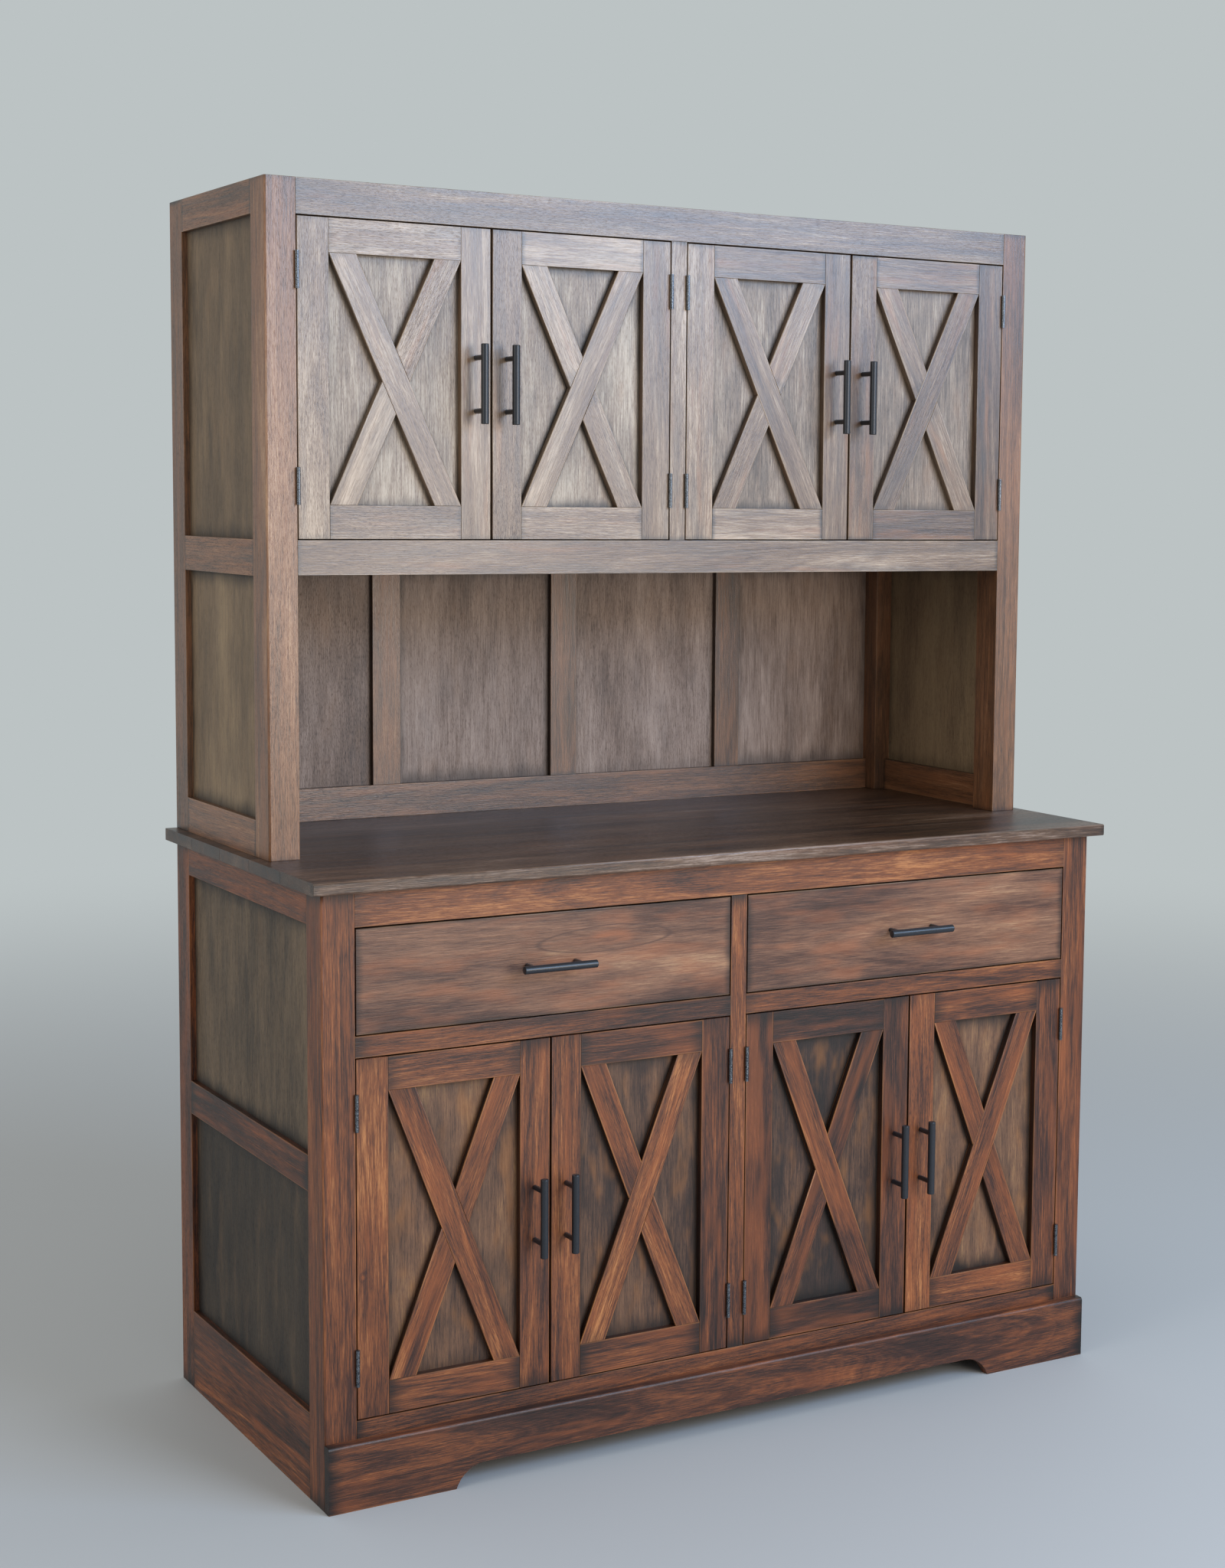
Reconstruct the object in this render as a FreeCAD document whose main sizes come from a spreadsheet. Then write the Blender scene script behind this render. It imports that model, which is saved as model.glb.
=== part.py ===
"""Two-part farmhouse cabinet: a base with two drawers over four doors, and a hutch
with an open niche under four doors. Every door has an X of flat bars over its panel.

Millimetres. +Z is up, the front faces -Y and +X is to the right seen from the front.
The origin is on the floor, under the middle of the whole outline.
"""
import FreeCAD, Part
import os
import re

doc = FreeCAD.newDocument("cabinet")

# Driving dimensions: name, value, what it measures
SIZES = (
    ("case_wide", 1372, "outside width, left post to right post"),
    ("case_deep", 630, "front of the base to the back"),
    ("case_high", 1914, "floor to the top of the hutch"),
    ("hutch_deep", 425, "front of the hutch to the back"),
    ("base_high", 899.5, "floor to the underside of the worktop"),
    ("worktop_thick", 19, "worktop board"),
    ("worktop_side_over", 19, "worktop past the base, left and right"),
    ("worktop_front_over", 20, "worktop past the base, in front"),
    ("worktop_round", 3, "radius on the worktop's edges"),
    ("niche_high", 420.5, "open niche over the worktop"),
    ("base_post_wide", 50, "base corner posts, seen from the front"),
    ("hutch_post_wide", 47.5, "hutch corner posts, seen from the front"),
    ("post_deep", 57, "corner posts, seen from the side"),
    ("centre_stile_wide", 28, "stile between the two pairs of doors"),
    ("front_thick", 28, "front rails and centre stiles, front to back"),
    ("base_top_rail_high", 51.5, "rail over the drawers"),
    ("drawer_open_high", 157, "drawer opening"),
    ("drawer_rail_high", 31.5, "rail between drawers and doors"),
    ("base_open_low", 127, "floor to the bottom of the lower door openings"),
    ("base_bottom_rail_high", 67, "rail under the lower doors"),
    ("hutch_mid_rail_high", 52, "rail between niche and upper doors"),
    ("hutch_top_rail_high", 52.5, "rail over the upper doors"),
    ("side_rail_thick", 26, "rails of the side frames"),
    ("side_recess", 9.5, "side panels behind the frames' outer faces"),
    ("base_side_top_high", 51, "top rail of a base side"),
    ("base_side_mid_high", 54, "middle rail of a base side"),
    ("base_side_bottom_high", 129.5, "bottom rail of a base side"),
    ("base_side_pane_high", 336, "upper panel opening of a base side"),
    ("hutch_side_top_high", 50.5, "top rail of a hutch side"),
    ("hutch_side_mid_high", 54, "middle rail of a hutch side"),
    ("hutch_side_bottom_high", 55.5, "bottom rail of a hutch side"),
    ("back_thick", 28, "back frames, front to back"),
    ("back_recess", 10, "back panels behind the back frames' front faces"),
    ("back_stile_wide", 50, "stiles of the back frames"),
    ("back_rail_high", 55, "rails of the back frames"),
    ("panel_thick", 6, "plywood panels"),
    ("groove_deep", 9, "grooves that hold the panels"),
    ("panel_play", 1, "panel edge to the bottom of its groove"),
    ("plinth_high", 100, "plinth board in front of the base"),
    ("plinth_thick", 16, "plinth board"),
    ("plinth_foot_wide", 200, "plinth's foot at each end, at the floor"),
    ("plinth_cut_high", 33.5, "height of the cut-out under the plinth"),
    ("plinth_cut_round", 50, "radius at the ends of the cut-out"),
    ("plinth_round", 5, "radius on the plinth's top front edge"),
    ("floor_thick", 18, "floors, top board and shelves"),
    ("partition_thick", 18, "boards behind the centre stiles"),
    ("door_thick", 22, "doors and drawer fronts"),
    ("door_stile_wide", 49, "door stiles"),
    ("door_rail_high", 50, "door rails"),
    ("door_recess", 12, "door panels behind the doors' faces"),
    ("x_bar_wide", 40, "bars of the X, across their length"),
    ("hinge_gap", 1.5, "door to its hinge post"),
    ("meeting_gap", 3, "between the doors of a pair"),
    ("door_top_gap", 2, "over doors and drawer fronts"),
    ("door_bottom_gap", 1.5, "under doors and drawer fronts"),
    ("drawer_side_gap", 2, "beside the drawer fronts and boxes"),
    ("drawer_box_long", 520, "drawer sides, front to back"),
    ("drawer_box_high", 130, "drawer sides"),
    ("drawer_box_thick", 12, "drawer sides and backs"),
    ("drawer_bottom_up", 12, "drawer bottom over the lower edges of the sides"),
    ("drawer_bottom_into", 6, "drawer bottom inside its grooves"),
    ("runner_wide", 28, "strips that carry the drawers"),
    ("running_gap", 0.3, "clearance of pieces that move past each other"),
    ("hinge_long", 54.5, "hinge barrels and leaves"),
    ("hinge_end", 50, "hinge to the door's end"),
    ("barrel_wide", 6, "hinge barrel diameter"),
    ("pin_wide", 3, "hinge pin diameter"),
    ("pin_play", 0.05, "pin to barrel, radius"),
    ("leaf_thick", 1.2, "hinge leaves"),
    ("leaf_deep", 23, "barrel axis to the leaves' back edges"),
    ("pull_long", 120, "pull bars"),
    ("pull_bar_wide", 12, "pull bar diameter"),
    ("pull_post_wide", 8, "pull post diameter"),
    ("pull_pitch", 80, "pull posts, centre to centre"),
    ("pull_stand", 32, "bar axis in front of the door's face"),
    ("screw_wide", 4, "pull screw diameter"),
    ("screw_play", 0.25, "screw to its hole, radius"),
    ("screw_into", 12, "screw inside the pull's post"),
    ("screw_head_wide", 8, "screw head diameter"),
    ("screw_head_high", 2.5, "screw head"),
    ("shelf_play", 1, "shelf ends to the posts and partitions"),
    ("shelf_front", 42, "shelves behind the frame's front face"),
    ("cleat_wide", 18, "shelf cleats, square"),
    ("stop_long", 60, "blocks that the doors close against"),
    ("stop_high", 14, "height of those blocks"),
    ("stop_deep", 18, "those blocks, front to back"),
    ("overrun", 2, "how far a cutting block runs past a face"),
)

KNUCKLES = 5
CASE_KNUCKLES = (0, 2, 4)
DOOR_KNUCKLES = (1, 3)
BACK_STILES = 3
DOORS = (1, 2, 3, 4)
HINGED_LEFT = (1, 3)

# Places worked out from the sizes: name, formula
PLACES = (
    ("pull_out", "pull_stand + pull_bar_wide / 2"),
    ("right_x", "case_wide / 2"),
    ("left_x", "-right_x"),
    ("base_face", "(pull_out - case_deep) / 2"),
    ("back_y", "base_face + case_deep"),
    ("hutch_face", "back_y - hutch_deep"),
    ("base_foot", "0"),
    ("base_top", "base_high"),
    ("hutch_foot", "base_high + worktop_thick"),
    ("hutch_top", "case_high"),
    ("base_inner", "right_x - base_post_wide"),
    ("hutch_inner", "right_x - hutch_post_wide"),
    ("side_inner", "right_x - side_rail_thick"),
    ("half_centre", "centre_stile_wide / 2"),
    ("half_partition", "partition_thick / 2"),
    ("drawer_open_top", "base_high - base_top_rail_high"),
    ("drawer_open_low", "drawer_open_top - drawer_open_high"),
    ("base_open_top", "drawer_open_low - drawer_rail_high"),
    ("base_rail_low", "base_open_low - base_bottom_rail_high"),
    ("niche_top", "hutch_foot + niche_high"),
    ("hutch_open_low", "niche_top + hutch_mid_rail_high"),
    ("hutch_open_top", "case_high - hutch_top_rail_high"),
    ("base_mid_top", "base_high - base_side_top_high - base_side_pane_high"),
    ("base_mid_low", "base_mid_top - base_side_mid_high"),
    ("hutch_mid_top", "hutch_open_low"),
    ("hutch_mid_low", "hutch_mid_top - hutch_side_mid_high"),
    ("back_front", "back_y - back_thick"),
    ("back_groove", "back_front + back_recess"),
    ("base_pane", f"(2 * base_inner - {BACK_STILES} * back_stile_wide) / {BACK_STILES + 1}"),
    ("hutch_pane", f"(2 * hutch_inner - {BACK_STILES} * back_stile_wide) / {BACK_STILES + 1}"),
    ("base_shelf", "(base_open_low + base_open_top - floor_thick) / 2"),
    ("hutch_shelf", "(hutch_open_low + hutch_open_top - floor_thick) / 2"),
    ("panel_tongue", "groove_deep - panel_play"),
    ("plinth_front", "base_face - plinth_thick"),
    ("cut_end_z", "plinth_cut_high - plinth_cut_round"),
    ("cut_end_out", "sqrt(plinth_cut_round ^ 2 - cut_end_z ^ 2)"),
    ("cut_end_x", "right_x - plinth_foot_wide - cut_end_out"),
    ("hinge_out", "barrel_wide / 2 + running_gap"),
    ("half_gap", "running_gap / 2"),
    ("knuckle_pitch", f"hinge_long / {KNUCKLES}"),
    ("drawer_low", "drawer_open_low + running_gap"),
    ("drawer_back", "base_face + door_thick + drawer_box_long"),
    ("drawer_bottom", "drawer_low + drawer_bottom_up"),
)

UPRIGHT = FreeCAD.Rotation()
TO_BACK = FreeCAD.Rotation(FreeCAD.Vector(1, 0, 0), -90)
WEDGE_UP = FreeCAD.Rotation(FreeCAD.Vector(1, 0, 0), 90)
TURNED_OVER = FreeCAD.Rotation(FreeCAD.Vector(0, 1, 0), 180)
ON_SIDE = FreeCAD.Rotation(FreeCAD.Vector(0, 1, 0), 90)

sheet_of = {}
nodes = []


def qualified(formula, here=None):
    """Puts its sheet's name before each named value in a formula."""
    def full(match):
        word = match.group(0)
        home = sheet_of.get(word, here)
        return word if home == here else f"{home}.{word}"

    return re.sub(r"[a-z][a-z0-9_]*", full, formula)


def fill_sheet(name, rows, worked_out):
    """Writes one named value to a row: a plain number, or a formula on other values."""
    sheet = doc.addObject("Spreadsheet::Sheet", name)
    for row, (alias, content, *note) in enumerate(rows, start=1):
        text = "=" + qualified(content, name) if worked_out else str(content)
        sheet.set(f"A{row}", alias.replace("_", " "))
        sheet.set(f"B{row}", text)
        sheet.setAlias(f"B{row}", alias)
        if note:
            sheet.set(f"C{row}", note[0])
        sheet_of[alias] = name
    doc.recompute()


def bind(thing, **formulas):
    """Ties properties of an object to formulas. x, y and z stand for its place."""
    for name, formula in formulas.items():
        path = f".Placement.Base.{name}" if name in ("x", "y", "z") else name
        thing.setExpression(path, qualified(formula))
    return thing


def block(name, x, y, z, kind="Part::Box", body=None):
    """A square block between two planes along each axis, each given as a formula."""
    thing = body.newObject(kind, name) if body else doc.addObject(kind, name)
    bind(thing, Length=f"{x[1]} - ({x[0]})", Width=f"{y[1]} - ({y[0]})")
    return bind(thing, Height=f"{z[1]} - ({z[0]})", x=x[0], y=y[0], z=z[0])


def rod(name, diameter, length, at, turn=UPRIGHT):
    """A round rod that starts at a place and runs along +Z, or as it is turned."""
    thing = doc.addObject("Part::Cylinder", name)
    thing.Placement.Rotation = turn
    bind(thing, Radius=f"({diameter}) / 2", Height=length)
    return bind(thing, x=at[0], y=at[1], z=at[2])


def group(name, pieces):
    """Separate pieces kept together under one name."""
    thing = doc.addObject("Part::Compound", name)
    thing.Links = pieces
    return thing


def fused(name, pieces):
    thing = doc.addObject("Part::MultiFuse", name)
    thing.Shapes = pieces
    thing.Refine = True
    return thing


def cut(name, base, tools):
    """The base with every tool taken out of it. The tools don't overlap each other."""
    if not tools:
        return base
    thing = doc.addObject("Part::Cut", name)
    thing.Base = base
    thing.Tool = tools[0] if len(tools) == 1 else group(f"{name}_tools", tools)
    return thing


def copy_at(name, master, at, turn=UPRIGHT):
    """The same part again, put at a place and turned.

    The copy's place stands instead of the master's own, so a master is a group or a cut
    that stands at the origin itself.
    """
    thing = doc.addObject("App::Link", name)
    thing.LinkedObject = master
    thing.Placement = FreeCAD.Placement(FreeCAD.Vector(), turn)
    return bind(thing, x=at[0], y=at[1], z=at[2])


def node(name, pieces):
    """Declares a sub-part: one body, or a group of separate solids."""
    alone = len(pieces) == 1 and pieces[0].TypeId != "App::Link"
    thing = pieces[0] if alone else group(name, pieces)
    thing.Label = name
    nodes.append(thing)


def member(name, plane, across, thick, up, groove, grooves=(), tongues=(), cuts=()):
    """A stile or rail of a frame, with panel grooves and stub tongues.

    across and up are its spans in the frame's plane and thick its span through it.
    A "front" frame lies along X and a "side" frame along Y. groove is the panel's span
    through the frame. grooves and tongues name the edges that have them: left, right,
    low and high, where left is the lower end of across.
    """
    def solid(part, u, z, v=groove):
        x, y = (u, v) if plane == "front" else (v, u)
        return block(f"{name}_{part}", x, y, z)

    def grown(span, first, last, by):
        low = f"{span[0]} - ({by})" if first else span[0]
        high = f"{span[1]} + {by}" if last else span[1]
        return (low, high)

    shape = solid("board", across, up, thick)
    added = []
    if {"left", "right"} & set(tongues):
        ends = grown(across, "left" in tongues, "right" in tongues, "groove_deep")
        added.append(solid("tongues", ends, up))
    if {"low", "high"} & set(tongues):
        ends = grown(up, "low" in tongues, "high" in tongues, "groove_deep")
        added.append(solid("tongues", across, ends))
    if added:
        shape = fused(f"{name}_tongued", [shape, *added])
    long_across = grown(across, True, True, "groove_deep + overrun")
    long_up = grown(up, True, True, "groove_deep + overrun")
    spans = {
        "left": ((f"{across[0]} - overrun", f"{across[0]} + groove_deep"), long_up),
        "right": ((f"{across[1]} - groove_deep", f"{across[1]} + overrun"), long_up),
        "low": (long_across, (f"{up[0]} - overrun", f"{up[0]} + groove_deep")),
        "high": (long_across, (f"{up[1]} - groove_deep", f"{up[1]} + overrun")),
    }
    tools = [solid(f"groove_{edge}", *spans[edge]) for edge in grooves]
    return cut(name, shape, tools + list(cuts))


def grooved_panel(name, plane, across, groove, up):
    """A plywood panel that reaches into the grooves round its opening."""
    u = (f"{across[0]} - panel_tongue", f"{across[1]} + panel_tongue")
    z = (f"{up[0]} - panel_tongue", f"{up[1]} + panel_tongue")
    x, y = (u, groove) if plane == "front" else (groove, u)
    return block(name, x, y, z)


# The two rows of doors, each with the part of the case that it closes
ROWS = {"upper": "hutch", "lower": "base"}


def row_places(row):
    """Places of a row's doors, hinge axes, pulls and X bars."""
    case = ROWS[row]
    meeting = f"({case}_inner + half_centre) / 2"
    half_meeting = "meeting_gap / 2"
    rows = [
        (f"{row}_low", f"{case}_open_low + door_bottom_gap"),
        (f"{row}_top", f"{case}_open_top - door_top_gap"),
        (f"{row}_axis_y", f"{case}_face - hinge_out"),
        (f"{row}_hinge_low", f"{row}_low + hinge_end + hinge_long / 2"),
        (f"{row}_hinge_top", f"{row}_top - hinge_end - hinge_long / 2"),
        (f"{row}_middle", f"({row}_low + {row}_top) / 2"),
        (f"{row}_meeting", meeting),
    ]
    edges = {
        1: (f"hinge_gap - {case}_inner", f"-{row}_meeting - {half_meeting}"),
        2: (f"{half_meeting} - {row}_meeting", "-half_centre - hinge_gap"),
        3: ("half_centre + hinge_gap", f"{row}_meeting - {half_meeting}"),
        4: (f"{row}_meeting + {half_meeting}", f"{case}_inner - hinge_gap"),
    }
    for number, (left, right) in edges.items():
        door = f"{row}_{number}"
        rows += [(f"{door}_left", left), (f"{door}_right", right)]
        if number in HINGED_LEFT:
            rows.append((f"{door}_axis_x", f"{door}_left - hinge_gap / 2"))
            rows.append((f"{door}_pull_x", f"{door}_right - door_stile_wide / 2"))
        else:
            rows.append((f"{door}_axis_x", f"{door}_right + hinge_gap / 2"))
            rows.append((f"{door}_pull_x", f"{door}_left + door_stile_wide / 2"))
    wide = f"{row}_pane_wide"
    high = f"{row}_pane_high"
    rows += [
        (wide, f"{row}_1_right - {row}_1_left - 2 * door_stile_wide"),
        (high, f"{row}_top - {row}_low - 2 * door_rail_high"),
        (f"{row}_bar_turn", f"atan({high} / {wide}) + asin(x_bar_wide / hypot({wide}; {high}))"),
        (f"{row}_bar_foot", f"x_bar_wide / sin({row}_bar_turn)"),
    ]
    return tuple(rows)


def mortises(name, row, number, in_case):
    """Shallow cuts for a door's hinge leaves, in its post or in its own stile."""
    axis = f"{row}_{number}_axis_x"
    leaf = "half_gap + leaf_thick"
    if in_case == (number in HINGED_LEFT):
        x = (f"{axis} - ({leaf})", f"{axis} - ({leaf}) + overrun")
    else:
        x = (f"{axis} + {leaf} - overrun", f"{axis} + {leaf}")
    y = (f"{ROWS[row]}_face - overrun", f"{row}_axis_y + leaf_deep")
    tools = []
    for end in ("low", "top"):
        middle = f"{row}_hinge_{end}"
        z = (f"{middle} - hinge_long / 2", f"{middle} + hinge_long / 2")
        tools.append(block(f"{name}_mortise_{number}_{end}", x, y, z))
    return tools


def screw_holes(name, face, places):
    """Holes for a pull's screws, through a door stile or a drawer front."""
    wide = "screw_wide + 2 * screw_play"
    return [
        rod(f"{name}_hole_{i}", wide, "door_thick + 2 * overrun",
            (x, f"{face} - overrun", z), TO_BACK)
        for i, (x, z) in enumerate(places, start=1)
    ]


def inward(side, low, high):
    """The span from low to high, measured inwards from the left or right outer face."""
    if side == "left":
        return (f"left_x + {low}", f"left_x + {high}")
    return (f"right_x - ({high})", f"right_x - ({low})")


def add_worktop():
    body = doc.addObject("PartDesign::Body", "worktop")
    board = block(
        "worktop_board",
        ("left_x - worktop_side_over", "right_x + worktop_side_over"),
        ("base_face - worktop_front_over", "back_y"),
        ("base_top", "base_top + worktop_thick"),
        "PartDesign::AdditiveBox", body,
    )
    doc.recompute()
    back = board.Shape.BoundBox.YMax
    rounding = body.newObject("PartDesign::Fillet", "worktop_rounding")
    rounding.Base = (board, [
        f"Edge{i}"
        for i, edge in enumerate(board.Shape.Edges, start=1)
        if edge.BoundBox.YMin < back and edge.BoundBox.ZLength < Part.Precision.confusion()
    ])
    bind(rounding, Radius="worktop_round")
    node("worktop", [body])


def add_plinth():
    """Board with a long cut-out at the floor, whose ends curve up to the top of the cut."""
    body = doc.addObject("PartDesign::Body", "plinth")
    board = block(
        "plinth_board",
        ("left_x", "right_x"), ("plinth_front", "base_face"), ("0", "plinth_high"),
        "PartDesign::AdditiveBox", body,
    )
    through = ("plinth_front - overrun", "base_face + overrun")
    block(
        "plinth_cut",
        ("-cut_end_x", "cut_end_x"), through, ("-overrun", "plinth_cut_high"),
        "PartDesign::SubtractiveBox", body,
    )
    for side, x in (("left", "-cut_end_x"), ("right", "cut_end_x")):
        end = body.newObject("PartDesign::SubtractiveCylinder", f"plinth_cut_{side}")
        end.Placement.Rotation = TO_BACK
        bind(end, Radius="plinth_cut_round", Height="plinth_thick + 2 * overrun")
        bind(end, x=x, y=through[0], z="cut_end_z")
    doc.recompute()
    box = board.Shape.BoundBox
    last = body.Tip
    rounding = body.newObject("PartDesign::Fillet", "plinth_rounding")
    rounding.Base = (last, [
        f"Edge{i}"
        for i, edge in enumerate(last.Shape.Edges, start=1)
        if edge.BoundBox.YMax < box.Center.y and edge.BoundBox.ZMin > box.ZMax - box.YLength
    ])
    bind(rounding, Radius="plinth_round")
    node("plinth", [body])


def add_side(case, side):
    """A side of the base or the hutch: two posts and three rails. Returns its panels."""
    name = f"{case}_{side}"
    up = (f"{case}_foot", f"{case}_top")
    front = (f"{case}_face", f"{case}_face + post_deep")
    back = ("back_y - post_deep", "back_y")
    between = (front[1], back[0])
    post = inward(side, "0", f"{case}_post_wide")
    rail = inward(side, "0", "side_rail_thick")
    groove = inward(side, "side_recess", "side_recess + panel_thick")
    row = "upper" if case == "hutch" else "lower"
    door = DOORS[0] if side == "left" else DOORS[-1]
    back_groove = block(
        f"{name}_back_groove",
        inward(side, f"{case}_post_wide - groove_deep", f"{case}_post_wide + overrun"),
        ("back_groove", "back_groove + panel_thick"),
        ("base_rail_low" if case == "base" else up[0], up[1]),
    )
    low = (up[0], f"{up[0]} + {case}_side_bottom_high")
    mid = (f"{case}_mid_low", f"{case}_mid_top")
    high = (f"{up[1]} - {case}_side_top_high", up[1])
    ends = ("left", "right")
    node(f"{name}_side", [
        member(f"{name}_front_post", "side", front, post, up, groove, ["right"],
               cuts=mortises(f"{name}_front_post", row, door, True)),
        member(f"{name}_back_post", "side", back, post, up, groove, ["left"],
               cuts=[back_groove]),
        member(f"{name}_bottom_rail", "side", between, rail, low, groove, ["high"], ends),
        member(f"{name}_middle_rail", "side", between, rail, mid, groove,
               ["low", "high"], ends),
        member(f"{name}_top_rail", "side", between, rail, high, groove, ["low"], ends),
    ])
    return [
        grooved_panel(f"{name}_lower_panel", "side", between, groove, (low[1], mid[0])),
        grooved_panel(f"{name}_upper_panel", "side", between, groove, (mid[1], high[0])),
    ]


def add_front_frames():
    """Rails and centre stiles between the front posts. The corner posts are in the sides."""
    base_y = ("base_face", "base_face + front_thick")
    hutch_y = ("hutch_face", "hutch_face + front_thick")
    base_x = ("-base_inner", "base_inner")
    hutch_x = ("-hutch_inner", "hutch_inner")
    centre = ("-half_centre", "half_centre")
    rail_z = ("base_open_top", "drawer_open_low")
    inner_doors = DOORS[1:3]

    def centre_stile(name, y, z, row):
        board = block(f"{name}_board", centre, y, z)
        tools = [tool for door in inner_doors for tool in mortises(name, row, door, True)]
        return cut(name, board, tools)

    node("base_front_frame", [
        block("base_top_rail", base_x, base_y, ("drawer_open_top", "base_top")),
        block("base_bottom_rail", base_x, base_y, ("base_rail_low", "base_open_low")),
        block("left_drawer_rail", (base_x[0], centre[0]), base_y, rail_z),
        block("right_drawer_rail", (centre[1], base_x[1]), base_y, rail_z),
        centre_stile("base_centre_stile", base_y, ("base_open_low", "drawer_open_top"), "lower"),
    ])
    node("hutch_front_frame", [
        block("hutch_mid_rail", hutch_x, hutch_y, ("niche_top", "hutch_open_low")),
        block("hutch_top_rail", hutch_x, hutch_y, ("hutch_open_top", "hutch_top")),
        centre_stile("hutch_centre_stile", hutch_y, ("hutch_open_low", "hutch_open_top"), "upper"),
    ])


def add_back_frame(case, rails):
    """Rails from post to post with stiles between them. Returns the panels they hold."""
    inner = f"{case}_inner"
    across = (f"-{inner}", inner)
    thick = ("back_front", "back_y")
    groove = ("back_groove", "back_groove + panel_thick")
    pieces = []
    panels = []
    last = len(rails) - 1
    for level, up in enumerate(rails):
        edges = [edge for edge, there in (("low", level > 0), ("high", level < last)) if there]
        pieces.append(member(f"{case}_back_rail_{level + 1}", "front", across, thick, up,
                             groove, edges, ("left", "right")))
    for level in range(last):
        up = (rails[level][1], rails[level + 1][0])
        for column in range(BACK_STILES + 1):
            left = f"{column} * ({case}_pane + back_stile_wide) - {inner}"
            pane = (left, f"{left} + {case}_pane")
            stile = (pane[1], f"{pane[1]} + back_stile_wide")
            name = f"{case}_back_{level + 1}_{column + 1}"
            panels.append(grooved_panel(f"{name}_panel", "front", pane, groove, up))
            if column < BACK_STILES:
                pieces.append(member(f"{name}_stile", "front", stile, thick, up, groove,
                                     ("left", "right"), ("low", "high")))
    node(f"{case}_back_frame", pieces)
    return panels


def add_deck(name, case, up):
    """A level board inside the case, notched round the four corner posts."""
    inner = f"{case}_inner"
    board = block(
        f"{name}_board",
        ("-side_inner", "side_inner"), (f"{case}_face + front_thick", "back_front"), up,
    )
    z = (f"{up[0]} - overrun", f"{up[1]} + overrun")
    depths = {
        "front": (f"{case}_face", f"{case}_face + post_deep"),
        "back": ("back_y - post_deep", "back_y"),
    }
    notches = [
        block(f"{name}_notch_{end}_{side}", x, y, z)
        for end, y in depths.items()
        for side, x in (("left", ("left_x", f"-{inner}")), ("right", (inner, "right_x")))
    ]
    node(name, [cut(f"{name}_notched", board, notches)])


def add_partitions():
    x = ("-half_partition", "half_partition")
    node("partitions", [
        block("base_partition", x, ("base_face + front_thick", "back_front"),
              ("base_open_low", "base_top")),
        block("hutch_partition", x, ("hutch_face + front_thick", "back_front"),
              ("hutch_open_low", "hutch_top - floor_thick")),
    ])


def add_shelves():
    """One loose shelf behind each pair of doors, on a cleat at each end."""
    shelves = []
    cleats = []
    for case in ROWS.values():
        z = (f"{case}_shelf", f"{case}_shelf + floor_thick")
        under = (f"{case}_shelf - cleat_wide", z[0])
        y = (f"{case}_face + shelf_front", "back_front")
        ends = {"left": (f"-{case}_inner", "-half_partition"),
                "right": ("half_partition", f"{case}_inner")}
        for side, (low, high) in ends.items():
            name = f"{case}_{side}"
            shelves.append(block(f"{name}_shelf", (f"{low} + shelf_play", f"{high} - shelf_play"),
                                 (y[0], f"{y[1]} - shelf_play"), z))
            cleats.append(block(f"{name}_cleat_1", (low, f"{low} + cleat_wide"), y, under))
            cleats.append(block(f"{name}_cleat_2", (f"{high} - cleat_wide", high), y, under))
    node("shelves", shelves)
    node("shelf_cleats", cleats)


def add_stops():
    """A block behind the meeting line of each pair of doors, under the rail over them."""
    blocks = []
    for row, case in ROWS.items():
        y = f"{case}_face + door_thick + running_gap"
        for side, x in (("left", f"-{row}_meeting"), ("right", f"{row}_meeting")):
            blocks.append(block(
                f"{row}_{side}_stop",
                (f"{x} - stop_long / 2", f"{x} + stop_long / 2"),
                (y, f"{y} + stop_deep"),
                (f"{case}_open_top - stop_high", f"{case}_open_top"),
            ))
    node("door_stops", blocks)


def add_runners():
    """Strips behind the drawer rail, one under each drawer side."""
    y = ("base_face + front_thick", "back_front")
    z = ("base_open_top", "drawer_open_low")
    spans = {
        "left_outer": ("-base_inner", "-base_inner + runner_wide"),
        "left_inner": ("-half_partition - runner_wide", "-half_partition"),
        "right_inner": ("half_partition", "half_partition + runner_wide"),
        "right_outer": ("base_inner - runner_wide", "base_inner"),
    }
    node("drawer_runners", [block(f"{name}_runner", x, y, z) for name, x in spans.items()])


def hinge_leaf(name, knuckles):
    """A leaf and its knuckles round an upright axis at the origin, the leaf on the -X side."""
    x = ("-half_gap - leaf_thick", "-half_gap")
    low = "-hinge_long / 2"
    pieces = [block(f"{name}_plate", x, ("hinge_out", "leaf_deep"), (low, "hinge_long / 2"))]
    for k in knuckles:
        start = f"{low} + {k} * knuckle_pitch" + (" + half_gap" if k else "")
        end = f"{low} + {k + 1} * knuckle_pitch" + (" - half_gap" if k + 1 < KNUCKLES else "")
        pieces.append(rod(f"{name}_knuckle_{k}", "barrel_wide", f"{end} - ({start})",
                          ("0", "0", start)))
        pieces.append(block(f"{name}_tab_{k}", x, ("0", "hinge_out"), (start, end)))
    bore = rod(f"{name}_bore", "pin_wide + 2 * pin_play", "hinge_long + 2 * overrun",
               ("0", "0", f"{low} - overrun"))
    return cut(name, fused(f"{name}_solid", pieces), [bore])


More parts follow.
